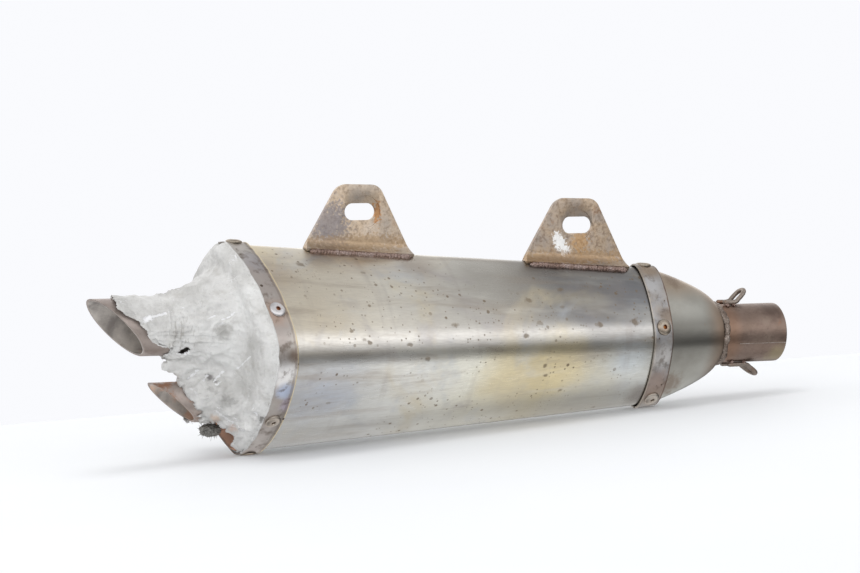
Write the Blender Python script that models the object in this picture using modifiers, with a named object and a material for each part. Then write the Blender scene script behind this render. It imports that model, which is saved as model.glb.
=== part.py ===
"""Slip-on motorcycle muffler: a tapered can of rounded diamond section with two hanger brackets,
a spring-hooked inlet pipe, two slash-cut tailpipes and a foil-wrapped outlet end."""

import math

import bmesh
import bpy
from mathutils import Matrix, Vector

# Metres. The origin is the centre of the inlet pipe's mouth. +X runs out of that mouth, towards the
# engine, +Z points at the hanger brackets, and the side that faces away from the wheel is at -Y.
GAP = 0.0003

INLET_RADIUS = 0.019
INLET_WALL = 0.0015
INLET_INNER_END = -0.074

# The can's section is four bowed panels between two side ridges and two crests. It is given at two
# stations, and every line along the can between them is straight.
FRONT_STATION = -0.103
FRONT_HALF_DEPTH = 0.0285
FRONT_HALF_HEIGHT = 0.0446
FRONT_RIDGE = 0.25
FRONT_CREST = 0.35
REAR_STATION = -0.3695
REAR_HALF_DEPTH = 0.0630
REAR_HALF_HEIGHT = 0.0637
REAR_RIDGE = 0.28
REAR_CREST = 0.08
RIDGE_ANGLE = math.radians(26)
CREST_ANGLE = math.radians(64)

# The outlet end is cut on a slant: it recedes on the -Y side and towards the bottom.
RAKE_DEPTH = 0.062
RAKE_HEIGHT = 0.061

SLEEVE_WALL = 0.0008
SLEEVE_FRONT = -0.0895
SLEEVE_REAR = -0.385
SLEEVE_SPANS = 5

BAND_WALL = 0.0012
FRONT_BAND_WIDTH = 0.0145
FRONT_BAND_REAR = FRONT_STATION
FRONT_BAND_FRONT = FRONT_BAND_REAR + FRONT_BAND_WIDTH
REAR_BAND_WIDTH = 0.0155
REAR_BAND_FRONT = REAR_STATION
REAR_BAND_REAR = REAR_BAND_FRONT - REAR_BAND_WIDTH
BAND_OUTSET = GAP + BAND_WALL

CAP_WALL = 0.0012
CAP_INSET = SLEEVE_WALL + GAP
CONE_NOSE = -0.0472
CONE_FULLNESS = 0.60
CONE_SKIRT_REAR = -0.106
CAP_SKIRT_FRONT = -0.366
CAP_EDGE = 0.004

UPPER_TAIL_RADIUS = 0.0180
UPPER_TAIL_HEIGHT = 0.0150
UPPER_TAIL_CUT = -0.460
UPPER_TAIL_SLASH = (-0.89, -0.19)
LOWER_TAIL_RADIUS = 0.0127
LOWER_TAIL_HEIGHT = -0.0320
LOWER_TAIL_CUT = -0.4235
LOWER_TAIL_SLASH = (-1.15, -0.12)
TAIL_WALL = 0.0014
TAIL_INNER_END = -0.330

FRONT_BRACKET_STATION = -0.1459
REAR_BRACKET_STATION = -0.2982
BRACKET_BASE = 0.0736
BRACKET_HEIGHT = 0.042
BRACKET_PLATE = 0.003
BRACKET_FAR_FACE = 0.0010
BRACKET_TOP_LEFT = 0.0125
BRACKET_TOP_RIGHT = 0.0151
BRACKET_CORNER = 0.011
BRACKET_TILT = 0.03
SLOT_LENGTH = 0.0215
SLOT_WIDTH = 0.0106
SLOT_HEIGHT = 0.0248
SLOT_SHIFT = 0.002
RECESS_RADIUS = 0.010
RECESS_DEPTH = 0.0010
FRONT_RECESS_SHIFT = 0.0
REAR_RECESS_SHIFT = 0.0035
WELD_BEVEL_HEIGHT = 0.0030
WELD_BEVEL_DEPTH = 0.0008
FOOT_ROOT = 0.0030
FOOT_TIP = 0.0058
FOOT_THICKNESS = 0.0020
OUTER_BEAD_DEPTH = 0.0078
INNER_BEAD_DEPTH = 0.0034
BEAD_RADIUS = 0.0017

HOOK_WIRE = 0.0015
HOOK_HALF_WIDTH = 0.0048
HOOK_RISE = 0.0125
UPPER_HOOK_ROOT = -0.0392
UPPER_HOOK_BEND = -0.0305
LOWER_HOOK_ROOT = -0.0365
LOWER_HOOK_BEND = -0.0232
UPPER_HOOK_SLOPE = math.radians(44)
LOWER_HOOK_SLOPE = math.radians(36)

RIVET_HEAD = 0.0052
RIVET_DOME = 0.0017
RIVET_SHANK = 0.0024
RIVET_TAIL = 0.0034
RIVET_BORE = 0.0013
FRONT_RIVET_ANGLES = (90, 160, 240, 300, 20)
REAR_RIVET_ANGLES = (90, 147, 225, 270, 315, 33)

CORE_RADIUS = 0.0205
CORE_WALL = 0.0010
CORE_FRONT = -0.060
CORE_REAR = -0.306
WOOL_THICKNESS = 0.003
FRONT_BAFFLE_STATION = -0.300
REAR_BAFFLE_STATION = -0.340
BAFFLE_WALL = 0.0012
PACKING_FRONT = -0.110
PACKING_REAR = -0.297

FOIL_WALL = 0.0008
FOIL_SHORT = 0.0080
FOIL_FOLLOW = 0.8
# Each step of the wrap: how far behind the band it lies, its size as a share of the can's section
# there, and how far it has gathered from that section to the collar round the upper pipe.
FOIL_PROFILE = (
    (0.0032, 0.985, 0.0),
    (0.0056, 0.93, 0.0),
    (0.0072, 0.86, 0.0),
    (0.0092, 0.82, 0.30),
    (0.0132, 0.80, 0.60),
    (0.0200, 0.80, 0.84),
    (0.0290, 0.80, 0.96),
    (0.0380, 0.80, 1.0),
)
TUFT_PLACE = (-0.3968, 0.004, -0.0502)
TUFT_HALF_SIZES = (0.0072, 0.0066, 0.0046)
TEAR_RADIUS = 0.0095

RING_STEPS = {"ridge": 3, "panel": 3, "crest": 2}
ROUND_STEPS = 32
RIVET_STEPS = 10


def clear_scene():
    for obj in list(bpy.data.objects):
        bpy.data.objects.remove(obj)


def new_collection(name, hidden=False):
    collection = bpy.data.collections.new(name)
    bpy.context.scene.collection.children.link(collection)
    collection.hide_render = hidden
    return collection


def material(name, colour, roughness, metallic):
    made = bpy.data.materials.new(name)
    made.use_nodes = True
    shader = made.node_tree.nodes["Principled BSDF"]
    shader.inputs["Base Color"].default_value = (*colour, 1.0)
    shader.inputs["Roughness"].default_value = roughness
    shader.inputs["Metallic"].default_value = metallic
    return made


# Section geometry


def quarter_point(angle, ridge, crest):
    """Point of the unit quarter outline where the normal has turned by this angle from the ridge."""
    arcs = ((0.0, RIDGE_ANGLE, ridge), (RIDGE_ANGLE, CREST_ANGLE, 1.0), (CREST_ANGLE, math.pi / 2, crest))

    def travelled(to):
        depth = height = 0.0
        for start, end, radius in arcs:
            stop = min(to, end)
            if stop > start:
                depth += radius * (math.cos(start) - math.cos(stop))
                height += radius * (math.sin(stop) - math.sin(start))
        return depth, height

    whole_depth, whole_height = travelled(math.pi / 2)
    depth, height = travelled(angle)
    return 1 - depth / whole_depth, height / whole_height


def outline(angle, half_depth, half_height, ridge, crest):
    quarter = math.atan2(abs(math.sin(angle)), abs(math.cos(angle)))
    depth, height = quarter_point(quarter, ridge, crest)
    y = math.copysign(half_depth * depth, math.cos(angle))
    z = math.copysign(half_height * height, math.sin(angle))
    return Vector((y, z))


def can_outline(angle, x):
    share = (x - FRONT_STATION) / (REAR_STATION - FRONT_STATION)
    front = outline(angle, FRONT_HALF_DEPTH, FRONT_HALF_HEIGHT, FRONT_RIDGE, FRONT_CREST)
    rear = outline(angle, REAR_HALF_DEPTH, REAR_HALF_HEIGHT, REAR_RIDGE, REAR_CREST)
    return front.lerp(rear, share)


def outset_outline(angle, x, outset):
    """The can's outline at x, moved out along its own normal."""
    step = 0.01
    along = can_outline(angle + step, x) - can_outline(angle - step, x)
    normal = Vector((along.y, -along.x)).normalized()
    return can_outline(angle, x) + outset * normal


def skin_point(angle, station, outset=0.0, rake=0.0):
    """Point of the can's skin where the slanted plane through this station of the axis cuts it."""
    x = station
    for _ in range(6):
        y, z = outset_outline(angle, x, outset)
        x = station - rake * (RAKE_DEPTH * y + RAKE_HEIGHT * z)
    return Vector((x, y, z))


def ring_angles():
    quarter = []
    spans = (
        (0.0, RIDGE_ANGLE, RING_STEPS["ridge"]),
        (RIDGE_ANGLE, CREST_ANGLE, RING_STEPS["panel"]),
        (CREST_ANGLE, math.pi / 2, RING_STEPS["crest"]),
    )
    for start, end, steps in spans:
        quarter += [start + (end - start) * i / steps for i in range(steps)]
    rising = quarter + [math.pi - angle for angle in [*quarter[1:], math.pi / 2]][::-1]
    return rising + [math.pi + angle for angle in rising]


RING = ring_angles()


def skin_ring(station, outset=0.0, rake=0.0):
    return [skin_point(angle, station, outset, rake) for angle in RING]


def round_ring(x, radius, y=0.0, z=0.0):
    return [Vector((x, y + radius * math.cos(angle), z + radius * math.sin(angle))) for angle in RING]


def mixed_ring(first, second, share):
    return [a.lerp(b, share) for a, b in zip(first, second)]


# Mesh building


def finish_mesh(name, bm, collection, surface, sharp=math.radians(35)):
    bmesh.ops.recalc_face_normals(bm, faces=bm.faces)
    mesh = bpy.data.meshes.new(name)
    bm.to_mesh(mesh)
    bm.free()
    mesh.shade_smooth()
    mesh.set_sharp_from_angle(angle=sharp)
    mesh.materials.append(surface)
    obj = bpy.data.objects.new(name, mesh)
    collection.objects.link(obj)
    return obj


def loft_into(bm, rings, wrap):
    """Quads between successive rings of equal count, and between the last and the first when wrapped."""
    made = [[bm.verts.new(point) for point in ring] for ring in rings]
    pairs = list(zip(made, made[1:]))
    if wrap:
        pairs.append((made[-1], made[0]))
    count = len(made[0])
    for first, second in pairs:
        for i in range(count):
            j = (i + 1) % count
            bm.faces.new((first[i], first[j], second[j], second[i]))
    return made


def shell(name, rings, collection, surface):
    """A ring-shaped solid whose cross-section is the closed path through the given rings."""
    bm = bmesh.new()
    loft_into(bm, rings, wrap=True)
    return finish_mesh(name, bm, collection, surface)


def capped_solid(name, rings, collection, surface):
    bm = bmesh.new()
    made = loft_into(bm, rings, wrap=False)
    bm.faces.new(made[0])
    bm.faces.new(made[-1])
    return finish_mesh(name, bm, collection, surface)


def turned(name, profile, steps, place, collection, surface):
    """A closed profile of (radius, height) points turned about its own Z axis, then placed."""
    mesh = bpy.data.meshes.new(name)
    verts = [(radius, 0.0, height) for radius, height in profile]
    on_axis = profile[0][0] == 0.0 and profile[-1][0] == 0.0
    edges = [(i, i + 1) for i in range(len(verts) - 1)]
    if not on_axis:
        edges.append((len(verts) - 1, 0))
    mesh.from_pydata(verts, edges, [])
    mesh.materials.append(surface)
    obj = bpy.data.objects.new(name, mesh)
    collection.objects.link(obj)
    screw = obj.modifiers.new("turn", "SCREW")
    screw.axis = "Z"
    screw.steps = steps
    screw.render_steps = steps
    screw.use_merge_vertices = True
    screw.merge_threshold = 0.00005
    obj.matrix_world = place
    return obj


def along_x(x, y=0.0, z=0.0):
    """Places a turned piece with its own Z along +X."""
    return Matrix.Translation((x, y, z)) @ Matrix.Rotation(math.pi / 2, 4, "Y")


def to_mesh_object(obj, collection):
    """The object as a plain mesh object, with its modifiers applied and its seams welded."""
    graph = bpy.context.evaluated_depsgraph_get()
    graph.update()
    mesh = bpy.data.meshes.new_from_object(obj.evaluated_get(graph))
    bm = bmesh.new()
    bm.from_mesh(mesh)
    bmesh.ops.remove_doubles(bm, verts=bm.verts, dist=0.00001)
    bmesh.ops.recalc_face_normals(bm, faces=bm.faces)
    bm.to_mesh(mesh)
    bm.free()
    name = obj.name
    place = obj.matrix_world.copy()
    bpy.data.objects.remove(obj)
    solid = bpy.data.objects.new(name, mesh)
    mesh.name = name
    solid.matrix_world = place
    collection.objects.link(solid)
    return solid


def flat_prism(name, points, thickness, centre_y, collection):
    """An outline in the XZ plane, thickened along Y about centre_y."""
    curve = bpy.data.curves.new(name, "CURVE")
    curve.dimensions = "2D"
    curve.fill_mode = "BOTH"
    curve.extrude = thickness / 2
    spline = curve.splines.new("POLY")
    spline.points.add(len(points) - 1)
    for spot, (x, z) in zip(spline.points, points):
        spot.co = (x, z, 0.0, 1.0)
    spline.use_cyclic_u = True
    obj = bpy.data.objects.new(name, curve)
    collection.objects.link(obj)
    obj.matrix_world = Matrix.Translation((0.0, centre_y, 0.0)) @ Matrix.Rotation(math.pi / 2, 4, "X")
    return to_mesh_object(obj, collection)


def cylinder(name, radius, start, end, steps, collection, other_radius=None):
    """A round cutter between two points."""
    axis = Vector(end) - Vector(start)
    bm = bmesh.new()
    bmesh.ops.create_cone(
        bm,
        cap_ends=True,
        segments=steps,
        radius1=radius,
        radius2=other_radius or radius,
        depth=axis.length,
    )
    mesh = bpy.data.meshes.new(name)
    bm.to_mesh(mesh)
    bm.free()
    obj = bpy.data.objects.new(name, mesh)
    collection.objects.link(obj)
    turn = axis.to_track_quat("Z", "Y").to_matrix().to_4x4()
    obj.matrix_world = Matrix.Translation((Vector(start) + Vector(end)) / 2) @ turn
    return obj


def wire(name, points, radius, collection, surface):
    curve = bpy.data.curves.new(name, "CURVE")
    curve.dimensions = "3D"
    curve.bevel_depth = radius
    curve.bevel_resolution = 2
    curve.use_fill_caps = True
    spline = curve.splines.new("POLY")
    spline.points.add(len(points) - 1)
    for spot, point in zip(spline.points, points):
        spot.co = (*point, 1.0)
    curve.materials.append(surface)
    obj = bpy.data.objects.new(name, curve)
    collection.objects.link(obj)
    return obj


def boolean(obj, other, operation):
    other.hide_render = True
    other.display_type = "WIRE"
    modifier = obj.modifiers.new(other.name, "BOOLEAN")
    modifier.operation = operation
    modifier.solver = "EXACT"
    modifier.object = other


def apply_all(obj, collection):
    solid = to_mesh_object(obj, collection)
    solid.data.shade_smooth()
    solid.data.set_sharp_from_angle(angle=math.radians(35))
    return solid


# Pieces


def rivet_place(angle, station, rake):
    """Frame on the band's outer face, with Z along the skin's outward normal."""
    step = 0.0005
    radians = math.radians(angle)
    spot = skin_point(radians, station, BAND_OUTSET, rake)
    around = skin_point(radians + 0.02, station, BAND_OUTSET, rake)
    around -= skin_point(radians - 0.02, station, BAND_OUTSET, rake)
    forward = skin_point(radians, station + step, BAND_OUTSET, rake)
    forward -= skin_point(radians, station - step, BAND_OUTSET, rake)
    normal = around.cross(forward).normalized()
    if normal.dot(Vector((0.0, spot.y, spot.z))) < 0:
        normal.negate()
    turn = normal.to_track_quat("Z", "Y").to_matrix().to_4x4()
    return Matrix.Translation(spot) @ turn


def rivet_places():
    front_station = (FRONT_BAND_FRONT + FRONT_BAND_REAR) / 2
    rear_station = (REAR_BAND_FRONT + REAR_BAND_REAR) / 2
    places = {}
    for number, angle in enumerate(FRONT_RIVET_ANGLES, start=1):
        places[f"front_band_rivet_{number}"] = rivet_place(angle, front_station, 0.0)
    for number, angle in enumerate(REAR_RIVET_ANGLES, start=1):
        places[f"rear_band_rivet_{number}"] = rivet_place(angle, rear_station, 1.0)
    return places


def make_rivets(places, collection, surface):
    """Blind rivets: a domed head with the mandrel's hole, a shank and the tail that it swelled into."""
    stack = BAND_OUTSET + SLEEVE_WALL + GAP + CAP_WALL
    tail_top = -stack - 0.0014
    profile = [
        (0.0, GAP + RIVET_DOME - 0.0022),
        (RIVET_BORE, GAP + RIVET_DOME - 0.0022),
        (RIVET_BORE, GAP + RIVET_DOME),
        (RIVET_HEAD * 0.62, GAP + RIVET_DOME * 0.86),
        (RIVET_HEAD, GAP + RIVET_DOME * 0.3),
        (RIVET_HEAD, GAP),
        (RIVET_SHANK, GAP),
        (RIVET_SHANK, tail_top),
        (RIVET_TAIL, tail_top - 0.0006),
        (RIVET_TAIL * 0.8, tail_top - 0.0026),
        (0.0, tail_top - 0.0030),
    ]
    for name, place in places.items():
        turned(name, profile, RIVET_STEPS, place, collection, surface)


def cut_rivet_holes(obj, places, prefix, cutters):
    for name, place in places.items():
        if not name.startswith(prefix):
            continue
        inner = place @ Vector((0.0, 0.0, -0.007))
        outer = place @ Vector((0.0, 0.0, 0.004))
        hole = cylinder(f"{obj.name}_{name}_hole", RIVET_SHANK + GAP, inner, outer, RIVET_STEPS, cutters)
        boolean(obj, hole, "DIFFERENCE")


def make_sleeve(places, collection, cutters, surface):
    """The can's outer wall: its rings stand square at the front and lean to the rake at the rear."""
    stations = [(SLEEVE_FRONT, 0.0)]
    for i in range(SLEEVE_SPANS + 1):
        rake = i / SLEEVE_SPANS
        stations.append((CONE_SKIRT_REAR + (CAP_SKIRT_FRONT - CONE_SKIRT_REAR) * rake, rake))
    stations.append((SLEEVE_REAR, 1.0))
    outer = [skin_ring(station, 0.0, rake) for station, rake in stations]
    inner = [skin_ring(station, -SLEEVE_WALL, rake) for station, rake in stations]
    sleeve = shell("outer_sleeve", outer + inner[::-1], collection, surface)
    cut_rivet_holes(sleeve, places, "", cutters)


def make_band(name, front, rear, rake, places, collection, cutters, surface):
    rings = [
        skin_ring(front, BAND_OUTSET, rake),
        skin_ring(rear, BAND_OUTSET, rake),
        skin_ring(rear, GAP, rake),
        skin_ring(front, GAP, rake),
    ]
    band = shell(name, rings, collection, surface)
    cut_rivet_holes(band, places, name, cutters)


def cone_ring(share, inset):
    """Ring of the cone at this share of its length: the diamond section shrinks to a circle."""
    root = skin_ring(FRONT_BAND_FRONT, -CAP_INSET - inset)
    hole = round_ring(CONE_NOSE, INLET_RADIUS + GAP + CAP_WALL - inset)
    left = (1 - share) ** CONE_FULLNESS
    x = FRONT_BAND_FRONT + (CONE_NOSE - FRONT_BAND_FRONT) * share - inset * share
    ring = mixed_ring(hole, root, left)
    return [Vector((x, point.y, point.z)) for point in ring]


def make_cone(places, collection, cutters, surface):
    shares = (0.0, 0.25, 0.5, 0.7, 0.84, 0.93, 0.98, 1.0)
    outer = [cone_ring(share, 0.0) for share in shares]
    inner = [cone_ring(share, CAP_WALL) for share in reversed(shares)]
    rings = [
        skin_ring(CONE_SKIRT_REAR, -CAP_INSET),
        *outer,
        *inner,
        skin_ring(CONE_SKIRT_REAR, -CAP_INSET - CAP_WALL),
    ]
    cone = shell("front_cone", rings, collection, surface)
    cut_rivet_holes(cone, places, "front_band", cutters)


def cap_ring(turn, inset):
    """Ring of the cap's rounded edge, from its skirt (turn 0) to its flat face (turn 90 degrees)."""
    radius = CAP_EDGE - inset
    station = SLEEVE_REAR - radius * math.sin(turn)
    root = skin_ring(SLEEVE_REAR, -CAP_INSET - inset, 1.0)
    shrink = 1 - radius * (1 - math.cos(turn)) / REAR_HALF_HEIGHT
    ring = []
    for point in root:
        y = point.y * shrink
        z = point.z * shrink
        ring.append(Vector((station - RAKE_DEPTH * y - RAKE_HEIGHT * z, y, z)))
    return ring


def tail_axis(height):
    return (-0.30, 0.0, height), (-0.50, 0.0, height)


def make_cap(places, collection, cutters, surface):
    turns = [math.radians(angle) for angle in (0, 30, 60, 90)]
    outer = [cap_ring(turn, 0.0) for turn in turns]
    inner = [cap_ring(turn, CAP_WALL) for turn in reversed(turns)]
    skirt_outer = skin_ring(CAP_SKIRT_FRONT, -CAP_INSET, 1.0)
    skirt_inner = skin_ring(CAP_SKIRT_FRONT, -CAP_INSET - CAP_WALL, 1.0)
    bm = bmesh.new()
    made = loft_into(bm, [*outer[::-1], skirt_outer, skirt_inner, *inner[::-1]], wrap=False)
    bm.faces.new(made[0])
    bm.faces.new(made[-1])
    cap = finish_mesh("rear_cap", bm, collection, surface)
    for label, radius, height in (
        ("upper", UPPER_TAIL_RADIUS, UPPER_TAIL_HEIGHT),
        ("lower", LOWER_TAIL_RADIUS, LOWER_TAIL_HEIGHT),
    ):
        hole = cylinder(f"cap_{label}_hole", radius + GAP, *tail_axis(height), ROUND_STEPS, cutters)
        boolean(cap, hole, "DIFFERENCE")
    cut_rivet_holes(cap, places, "rear_band", cutters)


def tube_profile(radius, wall, length):
    return [(radius, length), (radius, 0.0), (radius - wall, 0.0), (radius - wall, length)]


def make_inlet_pipe(collection, surface):
    profile = tube_profile(INLET_RADIUS, INLET_WALL, -INLET_INNER_END)
    turned("inlet_pipe", profile, ROUND_STEPS, along_x(INLET_INNER_END), collection, surface)


def make_inlet_weld(collection, surface):
    """The fillet bead round the joint of the cone and the inlet pipe."""
    root = INLET_RADIUS + GAP
    start = CONE_NOSE + GAP
    profile = [
        (root + 0.0016, 0.0),
        (root, 0.0),
        (root, 0.0040),
        (root + 0.0009, 0.0036),
        (root + 0.0016, 0.0020),
    ]
    turned("inlet_weld", profile, ROUND_STEPS, along_x(start), collection, surface)


def make_tailpipe(name, radius, height, cut, slash, collection, cutters, surface):
    """A tube whose free end is cut on a slant: slash is how far the cut moves along X per unit Z and Y."""
    far = cut - 0.05
    profile = tube_profile(radius, TAIL_WALL, TAIL_INNER_END - far)
    pipe = turned(name, profile, ROUND_STEPS, along_x(far, 0.0, height), collection, surface)
    pipe = to_mesh_object(pipe, collection)
    reach = 0.06
    corners = [(-1, -1), (-1, 1), (1, 1), (1, -1)]
    near = []
    for y, z in corners:
        x = cut + slash[0] * z * reach + slash[1] * y * reach
        near.append(Vector((x, y * reach, height + z * reach)))
    away = [Vector((cut - 0.25, point.y, point.z)) for point in near]
    bm = bmesh.new()
    made = loft_into(bm, [near, away], wrap=False)
    bm.faces.new(made[0])
    bm.faces.new(made[-1])
    cutter = finish_mesh(f"{name}_slash", bm, cutters, surface)
    boolean(pipe, cutter, "DIFFERENCE")
    return apply_all(pipe, collection)


def make_hook(name, root, bend, slope, side, collection, surface):
    """A bent wire: two legs lie along the pipe, and the loop between them stands off at a slope."""
    seat = INLET_RADIUS + GAP + HOOK_WIRE
    height = math.sqrt(seat**2 - HOOK_HALF_WIDTH**2)
    half = [
        (root - bend, 0.0, HOOK_HALF_WIDTH),
        (-0.002, 0.0, HOOK_HALF_WIDTH),
    ]
    straight = HOOK_RISE - HOOK_HALF_WIDTH - HOOK_WIRE
    for reach in (0.0010, 0.0030):
        half.append((reach * math.cos(slope), reach * math.sin(slope), HOOK_HALF_WIDTH))
    for step in range(4):
        turn = math.radians(30 * step)
        reach = straight + HOOK_HALF_WIDTH * math.sin(turn)
        spread = HOOK_HALF_WIDTH * math.cos(turn)
        half.append((reach * math.cos(slope), reach * math.sin(slope), spread))
    mirrored = [(x, z, -y) for x, z, y in half[-2::-1]]
    points = [(bend + x, y, side * (height + z)) for x, z, y in half + mirrored]
    return wire(name, points, HOOK_WIRE, collection, surface)


def rounded_corner(before, corner, after, radius, steps=5):
    """Arc of this radius between the two sides that meet at the corner."""
    to_before = (before - corner).normalized()
    to_after = (after - corner).normalized()
    half = to_before.angle(to_after) / 2
    centre = corner + (to_before + to_after).normalized() * radius / math.sin(half)
    start = corner + to_before * radius / math.tan(half) - centre
    sweep = math.pi - 2 * half
    turn = -1 if to_before.cross(to_after) > 0 else 1
    points = []
    for i in range(steps + 1):
        angle = turn * sweep * i / steps
        points.append(centre + Matrix.Rotation(angle, 2) @ start)
    return points


def angle_at_depth(depth, x):
    """Angle on the upper near panel where the can's skin lies this far from the crest plane."""
    low = math.pi / 2
    high = math.pi
    for _ in range(40):
        middle = (low + high) / 2
        if -can_outline(middle, x).x < depth:
            low = middle
        else:
            high = middle
    return low


def crest_height(x):
    return can_outline(math.pi / 2, x).y


def bracket_outline(station):
    left = Vector((station - BRACKET_BASE / 2, crest_height(station - BRACKET_BASE / 2)))
    right = Vector((station + BRACKET_BASE / 2, crest_height(station + BRACKET_BASE / 2)))
    top = crest_height(station) + BRACKET_HEIGHT
    tilt = BRACKET_TILT
    peak_left = Vector((station - BRACKET_TOP_LEFT, top + tilt * BRACKET_TOP_LEFT))
    peak_right = Vector((station + BRACKET_TOP_RIGHT, top - tilt * BRACKET_TOP_RIGHT))
    below = Vector((0.0, BRACKET_HEIGHT * 0.3))
    points = [left - below, left]
    points += rounded_corner(left, peak_left, peak_right, BRACKET_CORNER)
    points += rounded_corner(peak_left, peak_right, right, BRACKET_CORNER * 0.8)
    return [*points, right, right - below]


def slot_centre(station):
    return Vector((station + SLOT_SHIFT, crest_height(station) + SLOT_HEIGHT))


def obround(centre, length, width, steps=8):
    radius = width / 2
    points = []
    for side, start in ((1, -math.pi / 2), (-1, math.pi / 2)):
        middle = centre + Vector((side * (length / 2 - radius), 0.0))
        for i in range(steps + 1):
            turn = start + math.pi * i / steps
            points.append(middle + radius * Vector((math.cos(turn), math.sin(turn))))
    return points


def bracket_section(x):
    """The pressed plate at x: an upright web with a foot that turns out and lies on the near panel.

    The web's far lower edge is bevelled for its weld, so that a tab lies flat on the face above the bead.
    """
    base = crest_height(x) + GAP
    near = BRACKET_FAR_FACE - BRACKET_PLATE
    lift = GAP + 0.0002
    tip = angle_at_depth(FOOT_TIP, x)
    root = angle_at_depth(FOOT_ROOT, x)
    upright = [
        Vector((x, BRACKET_FAR_FACE - WELD_BEVEL_DEPTH, base)),
        Vector((x, BRACKET_FAR_FACE, base + WELD_BEVEL_HEIGHT)),
        Vector((x, BRACKET_FAR_FACE, base + BRACKET_HEIGHT + 0.01)),
        Vector((x, near, base + BRACKET_HEIGHT + 0.01)),
        Vector((x, near, base + FOOT_THICKNESS + 0.0010)),
    ]
    return [
        *upright,
        skin_point(tip, x, lift + FOOT_THICKNESS),
        skin_point(tip, x, lift),
        skin_point(root, x, lift),
    ]


def make_bracket(name, station, recess_shift, collection, cutters, surface):
    reach = BRACKET_BASE / 2 + 0.01
    sections = [bracket_section(station - reach), bracket_section(station + reach)]
    bracket = capped_solid(name, sections, collection, surface)
    middle = BRACKET_FAR_FACE - BRACKET_PLATE / 2
    blank = flat_prism(f"{name}_blank", bracket_outline(station), 0.06, middle, cutters)
    boolean(bracket, blank, "INTERSECT")
    hole = obround(slot_centre(station), SLOT_LENGTH, SLOT_WIDTH)
    slot = flat_prism(f"{name}_slot", hole, 0.02, middle, cutters)
    boolean(bracket, slot, "DIFFERENCE")
    centre = slot_centre(station)
    near = BRACKET_FAR_FACE - BRACKET_PLATE
    seat = (centre.x + recess_shift, near + RECESS_DEPTH, centre.y)
    mouth = (centre.x + recess_shift, near - 0.005, centre.y)
    recess = cylinder(f"{name}_recess", RECESS_RADIUS, seat, mouth, 24, cutters)
    boolean(bracket, recess, "DIFFERENCE")
    return apply_all(bracket, collection)


def make_bracket_bead(name, station, depth, collection, surface):
    """A weld bead along one edge of a bracket: at -Y for a positive depth and at +Y for a negative one."""
    half = BRACKET_BASE / 2 - 0.002
    steps = 6
    points = []
    for i in range(steps + 1):
        x = station - half + 2 * half * i / steps
        angle = angle_at_depth(abs(depth), x)
        if depth < 0:
            angle = math.pi - angle
        points.append(skin_point(angle, x, BEAD_RADIUS + GAP))
    return wire(name, points, BEAD_RADIUS, collection, surface)


def make_core(collection, cutters, surface):
    """The perforated tube that the gas passes along."""
    profile = tube_profile(CORE_RADIUS, CORE_WALL, CORE_FRONT - CORE_REAR)
    core = turned("perforated_core", profile, ROUND_STEPS, along_x(CORE_REAR), collection, surface)
    core = to_mesh_object(core, collection)
    rows = 5
    for row in range(rows):
        x = PACKING_FRONT - 0.015 + (PACKING_REAR - PACKING_FRONT + 0.03) * row / (rows - 1)
        for quarter in range(2):
            turn = math.pi / 2 * quarter + (math.pi / 4 if row % 2 else 0.0) + math.pi / ROUND_STEPS
            arm = Vector((0.0, math.cos(turn), math.sin(turn))) * (CORE_RADIUS + 0.004)
            middle = Vector((x, 0.0, 0.0))
            punch = cylinder(f"core_punch_{row}_{quarter}", 0.003, middle - arm, middle + arm, 8, cutters)
            boolean(core, punch, "DIFFERENCE")
    return apply_all(core, collection)


def make_wool(collection, surface):
    inner = CORE_RADIUS + GAP
    profile = tube_profile(inner + WOOL_THICKNESS, WOOL_THICKNESS, PACKING_FRONT - PACKING_REAR)
    turned("steel_wool_wrap", profile, ROUND_STEPS, along_x(PACKING_REAR), collection, surface)


def make_packing(collection, surface):
    """Glass wool between the steel wool and the sleeve."""
    inner = CORE_RADIUS + GAP + WOOL_THICKNESS + GAP
    inset = CAP_INSET + CAP_WALL + GAP
    rings = [
        skin_ring(PACKING_FRONT, -inset),
        skin_ring(PACKING_REAR, -inset),
        round_ring(PACKING_REAR, inner),
        round_ring(PACKING_FRONT, inner),
    ]
    return shell("glass_wool_packing", rings, collection, surface)


def make_baffle(name, station, holes, collection, cutters, surface):
    """A flat plate across the can, with a hole for each pipe (radius, height)."""
    inset = SLEEVE_WALL + 2 * GAP
    rings = [skin_ring(station, -inset), skin_ring(station - BAFFLE_WALL, -inset)]
    baffle = capped_solid(name, rings, collection, surface)
    for number, (radius, height) in enumerate(holes, start=1):
        start = (station + 0.01, 0.0, height)
        end = (station - 0.01, 0.0, height)
        hole = cylinder(f"{name}_hole_{number}", radius + GAP, start, end, ROUND_STEPS, cutters)
        boolean(baffle, hole, "DIFFERENCE")
    return apply_all(baffle, collection)


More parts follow.
